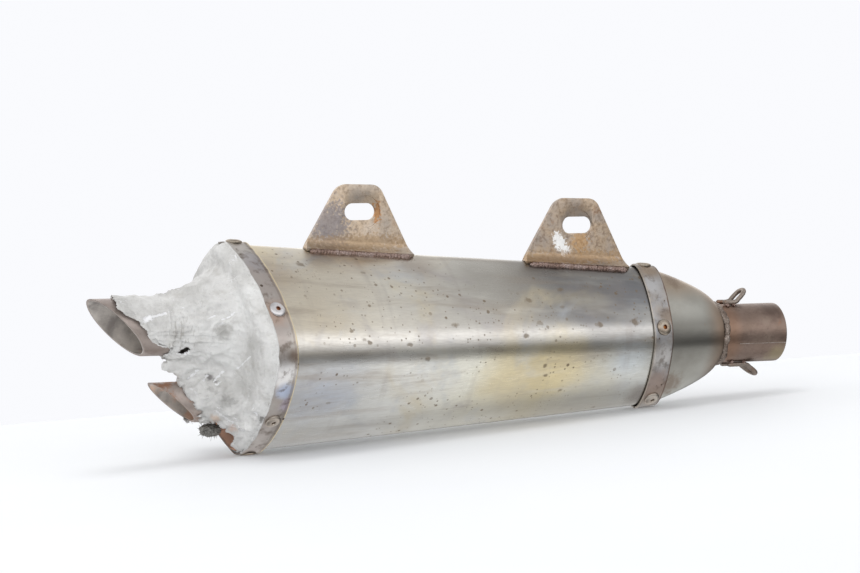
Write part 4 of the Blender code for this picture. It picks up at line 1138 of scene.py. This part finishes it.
def cone_ring(share, inset):
    root = skin(RING, FRONT_BAND[0], -CAP_INSET - inset)
    radius = INLET_RADIUS + GAP + CAP_WALL - inset
    hole = np.stack([np.zeros_like(RING), radius * np.cos(RING), radius * np.sin(RING)], axis=-1)
    left = (1 - share) ** CONE_FULLNESS
    ring = hole * (1 - left) + root * left
    ring[:, 0] = FRONT_BAND[0] + (CONE_NOSE - FRONT_BAND[0]) * share - inset * share
    return ring


def make_cone():
    shares = 1 - (1 - np.linspace(0, 1, 40)) ** 1.8
    outer = [cone_ring(share, 0.0) for share in shares]
    for ring in outer[1:-2]:
        ring[:, 1:] *= (1 + noise_at(ring, 45.0, 2.0) * 0.008)[:, None]
    inner = [cone_ring(share, CAP_WALL) for share in shares[::-1]]
    skirt = (CONE_SKIRT_REAR, CONE_SKIRT_REAR / 2 + FRONT_BAND[0] / 2)
    rings = [skin(RING, station, -CAP_INSET) for station in skirt]
    rings += outer + inner
    rings += [skin(RING, station, -CAP_INSET - CAP_WALL) for station in skirt[::-1]]
    return piece(loft("pressed_cone", rings, cone_material()), "cone_steel", "front_cone")


def make_inlet():
    wall = INLET_RADIUS - INLET_WALL
    profile = [(x, INLET_RADIUS) for x in np.linspace(INLET_REAR, -0.0012, 30)]
    profile += [(-0.0004, INLET_RADIUS - 0.0001), (0.0, INLET_RADIUS - 0.0005), (0.0, wall + 0.0004)]
    profile += [(-0.0005, wall)] + [(x, wall) for x in np.linspace(-0.002, INLET_REAR, 12)]
    rings = lathe_rings(profile, 96)
    dents = noise_at(rings, 34.0, 4.0) * 0.0001
    rings[:, :, 1:] *= (1 + dents / INLET_RADIUS)[..., None]
    piece(loft("inlet_tube", rings, inlet_material()), "pipe_steel", "inlet_pipe")
    path = []
    for x in np.linspace(-0.0345, -0.0008, 40):
        radius = INLET_RADIUS - 0.00005 + 0.00006 * noise.noise(Vector((x * 900, 0, 0)))
        path.append((x, radius * math.cos(SEAM_ANGLE), radius * math.sin(SEAM_ANGLE)))
    tones = ((0.30, 0.24, 0.20), (0.42, 0.36, 0.32), (0.56, 0.50, 0.46), (0.22, 0.17, 0.14))
    material = weld_material("seam_weld", tones)
    seam = loft("inlet_seam", tube_rings(path, SEAM_RADIUS, 8), material, wrap=False, caps=True)
    piece(seam, "weld")


def make_inlet_weld(material):
    """A hand-laid fillet: overlapping lumps of uneven size round the pipe."""
    steps = 360
    turns = 2 * math.pi * np.arange(steps) / steps
    lumps = np.abs(np.sin(turns * 11 + 0.8 * np.sin(turns * 3))) ** 0.6
    around = np.stack([np.cos(turns), np.sin(turns), 0 * turns], axis=-1)
    size = 0.00125 + 0.00055 * lumps + 0.0006 * noise_at(around, 3.2, 1.0)
    rings = []
    for i, turn in enumerate(turns):
        ring = []
        for j in range(14):
            roll = 2 * math.pi * j / 14
            radius = INLET_RADIUS + 0.0004 + size[i] * math.cos(roll)
            x = INLET_WELD_STATION + 0.0006 * math.sin(turn * 5) + size[i] * 1.35 * math.sin(roll)
            ring.append((x, radius * math.cos(turn), radius * math.sin(turn)))
        rings.append(ring)
    return piece(loft("inlet_weld_bead", rings, material), "weld", "inlet_weld")


def make_tailpipe(name, node, pipe, material):
    """A thin tube cut off on a slant, a little out of round."""
    sides = 112
    turns = 2 * math.pi * np.arange(sides) / sides
    rows = []

    def wall(radius, share):
        y = radius * np.cos(turns)
        z = radius * np.sin(turns)
        end = pipe["cut"] + pipe["slash"][0] * z + pipe["slash"][1] * y
        x = TAIL_INNER_END + (end - TAIL_INNER_END) * share
        return np.stack([x, y, z + pipe["height"]], axis=-1)

    steps = 40
    for i in range(steps + 1):
        rows.append(wall(pipe["radius"], i / steps))
    rows.append(wall(pipe["radius"] - TAIL_WALL * 0.5, 1.0))
    for i in range(steps, -1, -1):
        rows.append(wall(pipe["radius"] - TAIL_WALL, i / steps))
    rings = np.array(rows)
    swell = 1 + noise_at(rings, 28.0, 7.0) * 0.012
    rings[:, :, 1] *= swell
    rings[:, :, 2] = (rings[:, :, 2] - pipe["height"]) * swell + pipe["height"]
    return piece(loft(name, rings, material, sharp=50), "tail_steel", node)


def make_tailpipes():
    upper_steel = tailpipe_material("upper_tail_steel", UPPER_PIPE, 0.62)
    lower_steel = tailpipe_material("lower_tail_steel", LOWER_PIPE, 0.50)
    make_tailpipe("upper_tail", "upper_tailpipe", UPPER_PIPE, upper_steel)
    make_tailpipe("lower_tail", "lower_tailpipe", LOWER_PIPE, lower_steel)


def make_hook(node, root, bend, slope, side, material):
    seat = INLET_RADIUS + GAP + HOOK_WIRE
    height = math.sqrt(seat**2 - HOOK_HALF_WIDTH**2)
    half = [(root - bend, 0.0, HOOK_HALF_WIDTH), ((root - bend) / 2, 0.0, HOOK_HALF_WIDTH)]
    half.append((-0.002, 0.0, HOOK_HALF_WIDTH))
    straight = HOOK_RISE - HOOK_HALF_WIDTH - HOOK_WIRE
    for reach in (0.0010, 0.0030):
        half.append((reach * math.cos(slope), reach * math.sin(slope), HOOK_HALF_WIDTH))
    for step in range(4):
        turn = math.radians(30 * step)
        reach = straight + HOOK_HALF_WIDTH * math.sin(turn)
        half.append((reach * math.cos(slope), reach * math.sin(slope), HOOK_HALF_WIDTH * math.cos(turn)))
    mirrored = [(x, z, -y) for x, z, y in half[-2::-1]]
    points = [(bend + x, y, side * (height + z)) for x, z, y in half + mirrored]
    path = smooth_path(points, 6)
    radii = [HOOK_WIRE * (1 + 0.05 * noise.noise(point * 400)) for point in path]
    radii[0] = radii[-1] = HOOK_WIRE * 0.72
    wire = loft(f"{node}_wire", tube_rings(path, radii, 16), material, wrap=False, caps=True)
    return piece(wire, "pipe_steel", node)


def make_hooks():
    tones = ((0.26, 0.22, 0.19), (0.34, 0.29, 0.25), (0.46, 0.40, 0.35))
    material = plain_metal("hook_wire_steel", tones, 0.5)
    for node, shape in HOOKS.items():
        make_hook(node, *shape, material)


def make_hook_welds(material):
    parts = []
    for number, (root, bend, _, side) in enumerate(HOOKS.values()):
        for leg in (-1, 1):
            y = leg * (HOOK_HALF_WIDTH + 0.0006)
            z = side * (math.sqrt(INLET_RADIUS**2 - y**2) + 0.0004)
            for x, size in ((root + 0.0018, 0.0015), (bend - 0.0022, 0.0013)):
                centre = (x, y + leg * 0.0006, z)
                seed = number * 3 + leg + x * 90
                parts.append(blob(centre, (size, size * 1.5, size * 0.8), (0.0, y, z), seed))
    return piece(joined("hook_welds", parts, material), "weld")


def rounded_corner(before, corner, after, radius, steps=14):
    to_before = (before - corner).normalized()
    to_after = (after - corner).normalized()
    half = to_before.angle(to_after) / 2
    centre = corner + (to_before + to_after).normalized() * radius / math.sin(half)
    start = corner + to_before * radius / math.tan(half) - centre
    sweep = math.pi - 2 * half
    turn = -1 if to_before.cross(to_after) > 0 else 1
    return [centre + Matrix.Rotation(turn * sweep * i / steps, 2) @ start for i in range(steps + 1)]


def bracket_outline(station):
    left = Vector((station - BRACKET_BASE / 2, crest_height(station - BRACKET_BASE / 2)))
    right = Vector((station + BRACKET_BASE / 2, crest_height(station + BRACKET_BASE / 2)))
    top = crest_height(station) + BRACKET_HEIGHT
    peak_left = Vector((station - BRACKET_TOP_LEFT, top + BRACKET_TILT * BRACKET_TOP_LEFT))
    peak_right = Vector((station + BRACKET_TOP_RIGHT, top - BRACKET_TILT * BRACKET_TOP_RIGHT))
    below = Vector((0.0, BRACKET_HEIGHT * 0.3))
    points = [left - below, left]
    points += rounded_corner(left, peak_left, peak_right, BRACKET_CORNER)
    points += rounded_corner(peak_left, peak_right, right, BRACKET_CORNER * 0.8)
    return [*points, right, right - below]


def slot_outline(centre, length, width, steps=20):
    radius = width / 2
    points = []
    for side, start in ((1, -math.pi / 2), (-1, math.pi / 2)):
        middle = centre + Vector((side * (length / 2 - radius), 0.0))
        for i in range(steps + 1):
            turn = start + math.pi * i / steps
            points.append(middle + radius * Vector((math.cos(turn), math.sin(turn))))
    return points


def prism(name, points, near, far, material):
    """A cutter: an outline in the XZ plane between two depths along Y."""
    count = len(points)
    verts = [(point.x, near, point.y) for point in points] + [(point.x, far, point.y) for point in points]
    faces = [tuple(range(count)), tuple(range(2 * count - 1, count - 1, -1))]
    faces += [(i, (i + 1) % count, count + (i + 1) % count, count + i) for i in range(count)]
    return mesh_object(name, verts, faces, material)


def bracket_section(x):
    base = crest_height(x) + GAP
    near = BRACKET_FAR_FACE - BRACKET_PLATE
    tip = angle_at_depth(FOOT_TIP, x)
    root = angle_at_depth(FOOT_ROOT, x)
    toe = skin_point(tip, x, FOOT_THICKNESS + GAP)
    section = [
        Vector((x, BRACKET_FAR_FACE - WELD_BEVEL_DEPTH, base)),
        Vector((x, BRACKET_FAR_FACE, base + WELD_BEVEL_HEIGHT)),
        Vector((x, BRACKET_FAR_FACE, base + BRACKET_HEIGHT + 0.01)),
        Vector((x, near, base + BRACKET_HEIGHT + 0.01)),
    ]
    upper = Vector((x, near, base + 0.0062))
    corner = Vector((x, near, base + 0.0026))
    for i in range(7):
        t = i / 6
        section.append(upper * (1 - t) ** 2 + corner * 2 * t * (1 - t) + toe * t**2)
    section.append(skin_point(tip, x, GAP))
    section.append(skin_point(root, x, GAP))
    return section


def cut(obj, cutter, kind):
    modifier = obj.modifiers.new(cutter.name, "BOOLEAN")
    modifier.operation = kind
    modifier.solver = "EXACT"
    modifier.object = cutter
    applied(obj)
    bpy.data.objects.remove(cutter)


def make_bracket(node, station, recess_shift, material):
    reach = BRACKET_BASE / 2 + 0.01
    sections = [bracket_section(station + reach * share) for share in np.linspace(-1, 1, 13)]
    rings = [[tuple(point) for point in ring] for ring in sections]
    plate = loft(f"{node}_plate", rings, material, wrap=False, caps=True)
    near = BRACKET_FAR_FACE - BRACKET_PLATE
    centre = Vector((station + SLOT_SHIFT, crest_height(station) + SLOT_HEIGHT))
    cut(plate, prism("blank", bracket_outline(station), -0.04, 0.04, material), "INTERSECT")
    seat = centre + Vector((recess_shift, 0.0))
    turns = np.linspace(0, 2 * math.pi, 64, False)
    ring = [seat + RECESS_RADIUS * Vector((math.cos(turn), math.sin(turn))) for turn in turns]
    cut(plate, prism("recess", ring, near - 0.01, near + RECESS_DEPTH * 0.6, material), "DIFFERENCE")
    slot = slot_outline(centre, SLOT_LENGTH, SLOT_WIDTH)
    cut(plate, prism("slot", slot, -0.03, 0.03, material), "DIFFERENCE")
    bevel = plate.modifiers.new("edges", "BEVEL")
    bevel.width = 0.00035
    bevel.segments = 2
    bevel.limit_method = "ANGLE"
    bevel.angle_limit = math.radians(40)
    applied(plate)
    plate.data.shade_smooth()
    plate.data.set_sharp_from_angle(angle=math.radians(30))
    return piece(plate, "bracket_steel", node)


def make_bracket_bead(node, station, depth, seed, material):
    """A rippled weld bead, thin at its ends."""
    half = BRACKET_BASE / 2 - 0.002
    steps = 150
    path = []
    radii = []
    for i in range(steps + 1):
        share = i / steps
        x = station - half + 2 * half * share
        sway = noise.noise(Vector((x * 120, seed, 0)))
        angle = angle_at_depth(abs(depth) - 0.0009 + 0.0004 * sway, x)
        if depth < 0:
            angle = math.pi - angle
        path.append(skin_point(angle, x, 0.0006))
        ripple = 0.10 * math.sin(2 * math.pi * x / RIPPLE_PITCH + 2 * sway)
        ripple += 0.20 * noise.noise(Vector((x * 500, seed, 3)))
        ends = min(1.0, share * 26 + 0.25, (1 - share) * 26 + 0.25)
        radii.append(BEAD_RADIUS * 1.05 * (1 + ripple) * ends)
    rings = tube_rings(path, radii, 16)
    rings += (noise_at(rings, 900.0, seed) * 0.00018)[..., None]
    return piece(loft(f"{node}_run", rings, material, wrap=False, caps=True), "weld", node)


PAINTED_HIGHLIGHT_WHITE = (0.97, 0.97, 0.95)
# Each mark on a bracket's near face: its place, radius, squash, tint and share.
FRONT_MARKS = (
    # The first three marks are a painted highlight, a bright streak on the plate's near face.
    ((-0.1585, -0.0020, 0.0640), 0.0046, (1.1, 1.0, 0.9), PAINTED_HIGHLIGHT_WHITE, 0.9),
    ((-0.1560, -0.0020, 0.0603), 0.0056, (1.2, 1.0, 0.9), PAINTED_HIGHLIGHT_WHITE, 1.0),
    ((-0.1532, -0.0020, 0.0566), 0.0046, (0.9, 1.0, 1.3), PAINTED_HIGHLIGHT_WHITE, 0.9),
    ((-0.1500, -0.0020, 0.0520), 0.030, (0.5, 1.0, 6.0), (0.42, 0.27, 0.14), 0.6),
    ((-0.1420, -0.002, 0.0620), 0.007, (1.0, 1.0, 0.8), (0.46, 0.28, 0.13), 0.7),
)
REAR_MARKS = (
    ((-0.2850, -0.0020, 0.0830), 0.0050, (1.6, 1.0, 0.6), (0.52, 0.25, 0.09), 0.8),
    ((-0.3170, -0.0020, 0.0754), 0.0150, (1.0, 1.0, 0.8), (0.27, 0.25, 0.27), 0.7),
    ((-0.3000, -0.0020, 0.0640), 0.030, (0.5, 1.0, 5.0), (0.40, 0.27, 0.15), 0.6),
)


def make_brackets(bead_surface):
    surfaces = {
        "front_bracket": bracket_material("front_plate_steel", FRONT_MARKS, (0.24, 0.17, 0.12), 0.20),
        "rear_bracket": bracket_material("rear_plate_steel", REAR_MARKS, (0.72, 0.60, 0.47), 0.28),
    }
    beads = (("outer", OUTER_BEAD_DEPTH, 5.0), ("inner", -INNER_BEAD_DEPTH - 0.0010, 9.0))
    for number, (node, (station, shift)) in enumerate(BRACKETS.items()):
        make_bracket(node, station, shift, surfaces[node])
        for side, depth, seed in beads:
            make_bracket_bead(f"{node}_{side}_bead", station, depth, seed + number, bead_surface)


# The foil


FOIL_THICKNESS = 0.00022
COLLAR_RADIUS = UPPER_PIPE["radius"] + 0.0007
# The collar's torn edge: its X at each bearing round the upper pipe, in degrees.
TORN_EDGE = (
    (0, -0.449),
    (40, -0.457),
    (75, -0.4615),
    (118, -0.4645),
    (145, -0.4650),
    (156, -0.4600),
    (166, -0.4540),
    (184, -0.4475),
    (198, -0.4450),
    (213, -0.4400),
    (220, -0.4300),
    (235, -0.4250),
    (290, -0.4250),
    (330, -0.4380),
    (360, -0.449),
)


def plane_depth(y, z):
    """X of the slanted end plane of the can."""
    return SLEEVE_REAR - RAKE_DEPTH * y - RAKE_HEIGHT * z


def tent(high, spread, away):
    return high * np.exp(-((away / spread) ** 1.25))


def foil_depth(y, z, inward):
    """How far the foil stands behind the end plane: a pillow at the rim, tented over the pipes."""
    reach = np.clip(inward / 0.008, 0, 1)
    pillow = 0.0056 * np.sqrt(1 - (1 - reach) ** 2)
    freed = smooth_step(inward, 0.0, 0.010)
    upper = np.maximum(np.hypot(y, z - UPPER_PIPE["height"]) - COLLAR_RADIUS, 0)
    lower = np.maximum(np.hypot(y, z - LOWER_PIPE["height"]) - LOWER_PIPE["radius"] - 0.0006, 0)
    web = np.hypot(y + 0.006, z - np.clip(z, -0.019, -0.003))
    corner = np.interp(z, (-0.019, -0.009, -0.003), (0.031, 0.0475, 0.036))
    hills = (
        pillow,
        freed * tent(0.0425, 0.0098, upper),
        freed * tent(0.033 + 0.2 * (z - LOWER_PIPE["height"]), 0.0085, lower),
        freed * tent(corner, 0.0060, web),
    )
    return sum(hill**6 for hill in hills) ** (1 / 6)


def foil_rim():
    """The can's rim as seen round the upper pipe: its points, their ring angles and their bearings."""
    angles = ring_angles(24, 60, 21)
    rim = skin(angles, SLEEVE_REAR, BAND_OUTSET - 0.0006, 1.0)
    bearing = np.unwrap(np.arctan2(rim[:, 2] - UPPER_PIPE["height"], rim[:, 1]))
    order = np.argsort(bearing % (2 * math.pi))
    return rim[order], angles[order], (bearing % (2 * math.pi))[order]


def lap_rows(rim, angles, tucked):
    """The foil's edge, lapped onto the rear strap but tucked under it at the top."""
    wave = 0.0016 * noise_at(rim, 60.0, 2.0) + 0.0009 * noise_at(rim, 220.0, 6.0)
    lap = (0.0010 + 0.6 * wave) * (1 - tucked) - 0.0020 * tucked
    lift = BAND_OUTSET + 0.0004 - 0.0026 * tucked
    return [skin(angles, SLEEVE_REAR + lap * share, lift, 1.0) for share in (1.0, 0.6, 0.25)]


def face_rows(rim, circle, tucked, steps=120):
    """From the can's rim in to the collar on the upper pipe."""
    edge = rim[:, 1:]
    rows = []
    for i in range(steps + 1):
        share = 0.5 * (i / steps) + 0.5 * (1 - math.cos(math.pi * i / steps)) / 2
        spot = edge * (1 - share) + circle * share
        inward = np.hypot(*(spot - edge).T)
        depth = foil_depth(spot[:, 0], spot[:, 1], inward)
        depth = depth - 0.0022 * tucked * smooth_step(inward, 0.0035, 0.0005)
        x = plane_depth(spot[:, 0], spot[:, 1]) - depth - 0.0002
        rows.append(np.stack([x, spot[:, 0], spot[:, 1]], axis=-1))
    return rows


def collar_rows(start, circle, turns, steps=44):
    """Along the upper pipe to the torn, curled edge."""
    end = np.interp(np.degrees(turns), [a for a, _ in TORN_EDGE], [x for _, x in TORN_EDGE])
    around = np.stack([np.cos(turns), np.sin(turns), 0 * turns], axis=-1)
    end = end + 0.0018 * noise_at(around, 7.0, 1.0) + 0.0010 * noise_at(around, 26.0, 4.0)
    flap = 0.03 + 0.10 * np.clip(noise_at(around, 4.5, 6.0) + 0.15, 0, 1)
    rows = []
    for i in range(1, steps + 1):
        share = i / steps
        x = start + (np.minimum(end, start - 0.001) - start) * share
        curl = 1 + flap * smooth_step(share, 0.72, 1.0)
        y = circle[:, 0] * curl
        z = (circle[:, 1] - UPPER_PIPE["height"]) * curl + UPPER_PIPE["height"]
        rows.append(np.stack([x, y, z], axis=-1))
    return rows


def drop_loose_points(mesh):
    bm = bmesh.new()
    bm.from_mesh(mesh)
    bmesh.ops.delete(bm, geom=[vert for vert in bm.verts if not vert.link_faces], context="VERTS")
    bm.to_mesh(mesh)
    bm.free()


def make_foil(material):
    rim, angles, turns = foil_rim()
    tucked = bump_at(angles, 86, 13)
    circle = COLLAR_RADIUS * np.stack([np.cos(turns), np.sin(turns)], axis=-1)
    circle[:, 1] += UPPER_PIPE["height"]
    rows = lap_rows(rim, angles, tucked) + face_rows(rim, circle, tucked)
    rows += collar_rows(rows[-1][:, 0], circle, turns)
    points = crumpled(np.array(rows))
    cells = zip(grid_faces(len(rows), len(turns), False), kept_cells(points).reshape(-1))
    faces = [face for face, kept in cells if kept]
    foil = mesh_object("foil_skin", points.reshape(-1, 3), faces, material, 60)
    drop_loose_points(foil.data)
    thick = foil.modifiers.new("thickness", "SOLIDIFY")
    thick.thickness = FOIL_THICKNESS
    thick.offset = 0.0
    applied(foil)
    foil.data.shade_smooth()
    return piece(foil, "foil", "foil_wrap")


def crumpled(points):
    """Pushes the foil's grid along its normals into soft dents, sharp folds and radial wrinkles."""
    down = np.gradient(points, axis=0)
    across = np.roll(points, -1, axis=1) - np.roll(points, 1, axis=1)
    normal = np.cross(down, across)
    length = np.linalg.norm(normal, axis=-1, keepdims=True)
    normal /= np.maximum(length, 1e-12)
    outward = points - np.array([-0.37, 0.0, 0.0])
    flip = np.sign((normal * outward).sum(-1, keepdims=True))
    flip[flip == 0] = 1
    normal *= flip
    y = points[..., 1]
    z = points[..., 2] - UPPER_PIPE["height"]
    away = np.hypot(y, z)
    turn = np.arctan2(z, y)
    loose = smooth_step(away, 0.050, 0.022)
    behind = smooth_step(plane_depth(points[..., 1], points[..., 2]) - points[..., 0], 0.004, 0.026)
    radial = np.stack([np.cos(turn) * 3.0, np.sin(turn) * 3.0, away * 26], axis=-1)
    wrinkles = (folds_at(radial, 1.7, 5.0) - 0.35) * 0.0007 * loose
    soft = noise_at(points, 40.0, 1.0) * 0.0022 * (0.30 + behind)
    low = smooth_step(points[..., 2], -0.014, -0.044)
    sharp = (folds_at(points, 60.0, 7.0) - 0.3) * (0.0003 + 0.0017 * behind + 0.0021 * low)
    facets = (folds_at(points, 150.0, 2.0) - 0.3) * (0.00028 + 0.0008 * behind + 0.0013 * low)
    fine = noise_at(points, 420.0, 11.0) * 0.00012 + facets
    rows = np.arange(points.shape[0])[:, None]
    grip = smooth_step(rows, 2, 16)
    push = (wrinkles + soft + sharp) * grip + fine * (0.4 + 0.6 * grip)
    on_pipe = smooth_step(points[..., 0], -0.428, -0.440)
    push = np.where(on_pipe > 0, push * (1 - 0.45 * on_pipe) + 0.0003 * on_pipe, push)
    moved = points + normal * push[..., None]
    gap = np.hypot(moved[..., 1], moved[..., 2] - UPPER_PIPE["height"]) / (UPPER_PIPE["radius"] + 0.0004)
    sunk = (gap < 1)[..., None]
    fixed = moved.copy()
    fixed[..., 1] /= np.maximum(gap, 0.2)
    fixed[..., 2] = (moved[..., 2] - UPPER_PIPE["height"]) / np.maximum(gap, 0.2) + UPPER_PIPE["height"]
    return np.where(sunk, fixed, moved)


def kept_cells(points):
    """Which cells of the foil's grid are left after its tears and the lower pipe's hole."""
    cells = (points[:-1] + points[1:]) / 2
    cells = (cells + np.roll(cells, -1, axis=1)) / 2
    x = cells[..., 0]
    y = cells[..., 1]
    z = cells[..., 2]
    ragged = noise_at(cells, 260.0, 3.0) * 0.0011 + noise_at(cells, 800.0, 5.0) * 0.0005
    pipe = np.hypot(y, z - LOWER_PIPE["height"]) < LOWER_PIPE["radius"] + 0.0003
    top = -0.0445
    tear = (z + ragged * 1.5 < top) & (y + ragged > -0.0130 + 0.35 * (top - z)) & (y < 0.030)
    along = x + 0.4214
    up = z - 0.0006 + ragged - 0.25 * along
    hole = (along / 0.0029) ** 2 + (up / 0.0014) ** 2 < 1
    hole &= (y < 0) & (y > -0.020)
    return ~(pipe | tear | hole)


def make_wadding(material):
    """A lump of burnt packing with loose strands, pushed out of the tear."""
    bm = bmesh.new()
    bmesh.ops.create_icosphere(bm, subdivisions=5, radius=1.0)
    verts = []
    for vert in bm.verts:
        lump = noise.noise(vert.co * 1.7 + Vector((4, 1, 2)))
        knot = noise.noise(vert.co * 5.5)
        fuzz = noise.noise(vert.co * 16)
        swell = 0.88 + 0.22 * lump + 0.16 * knot + 0.06 * fuzz
        verts.append(TUFT_PLACE + Vector(c * s * swell for c, s in zip(vert.co, TUFT_SIZES)))
    faces = [tuple(v.index for v in face.verts) for face in bm.faces]
    bm.free()
    parts = [(verts, faces)]
    picker = random.Random(11)
    for _ in range(STRANDS):
        direction = Vector([picker.gauss(0, 1) for _ in range(3)]).normalized()
        start = TUFT_PLACE + Vector(c * s for c, s in zip(direction, STRAND_ROOTS)) * 0.92
        bend = Vector([picker.gauss(0, 1) for _ in range(3)]).normalized()
        length = picker.uniform(0.0012, 0.0034)
        path = [start + (direction * 0.5 + bend * (0.6 * t)) * length * t for t in (0, 0.3, 0.6, 1.0)]
        rings = tube_rings(path, [0.00016, 0.00014, 0.00011, 0.00007], 5)
        cells = grid_faces(4, 5, False)
        parts.append(([Vector(point) for point in rings.reshape(-1, 3)], cells))
    return piece(joined("wadding", parts, material), "burnt_wool", "packing_tuft")


def dress_inner_nodes():
    """Materials for the CAD pieces that stay as they are: the cap and what is inside the can."""
    grey = ((0.14, 0.13, 0.12), (0.34, 0.32, 0.30), (0.52, 0.50, 0.47))
    straw = ((0.46, 0.42, 0.28), (0.68, 0.64, 0.48), (0.82, 0.79, 0.66))
    cap = plain_metal("cap_rusty_steel", ((0.42, 0.23, 0.15), (0.55, 0.31, 0.21), (0.62, 0.41, 0.31)), 0.9)
    soot = plain_metal("sooty_sheet_steel", ((0.16, 0.14, 0.13), (0.22, 0.20, 0.18), (0.28, 0.25, 0.22)), 0.3)
    steel_wool = wool_material("matted_steel_wool", grey, 0.6, 260.0)
    glass_wool = wool_material("glass_fibre", straw, 0.0, 180.0)
    finishes = {
        "rear_cap": cap,
        "front_baffle": soot,
        "rear_baffle": soot,
        "perforated_core": soot,
        "steel_wool_wrap": steel_wool,
        "glass_wool_packing": glass_wool,
    }
    for node, material in finishes.items():
        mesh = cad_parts[node].data
        mesh.materials.clear()
        mesh.materials.append(material)


def main():
    scene = bpy.context.scene
    scene.view_settings.view_transform = "Standard"
    make_camera()
    make_world()
    make_floor()
    key = make_light("key", (-0.40, 0.10, 1.5), (-0.22, -0.02, 0.0), (0.9, 0.6), 5.5)
    fill = make_light("fill", (-1.7, -1.5, 0.8), (-0.3, 0.0, 0.0), (1.0, 1.0), 5.0, (0.98, 0.99, 1.0))
    key.visible_glossy = False
    fill.visible_glossy = False

    make_sleeve()
    make_straps()
    make_rivets()
    make_cone()
    make_inlet()
    pinkish = ((0.26, 0.18, 0.15), (0.38, 0.275, 0.24), (0.55, 0.45, 0.42), (0.18, 0.12, 0.095))
    dark = ((0.16, 0.12, 0.10), (0.32, 0.26, 0.22), (0.50, 0.43, 0.38), (0.12, 0.09, 0.07))
    bead_surface = weld_material("bracket_weld_metal", pinkish)
    make_inlet_weld(weld_material("inlet_weld_metal", dark))
    make_hooks()
    make_hook_welds(weld_material("hook_weld_metal", pinkish))
    make_tailpipes()
    make_brackets(bead_surface)
    make_foil(foil_material())
    burnt = ((0.10, 0.10, 0.09), (0.26, 0.25, 0.23), (0.44, 0.43, 0.40))
    make_wadding(wool_material("burnt_wool", burnt, 0.0, 420.0))
    dress_inner_nodes()


main()
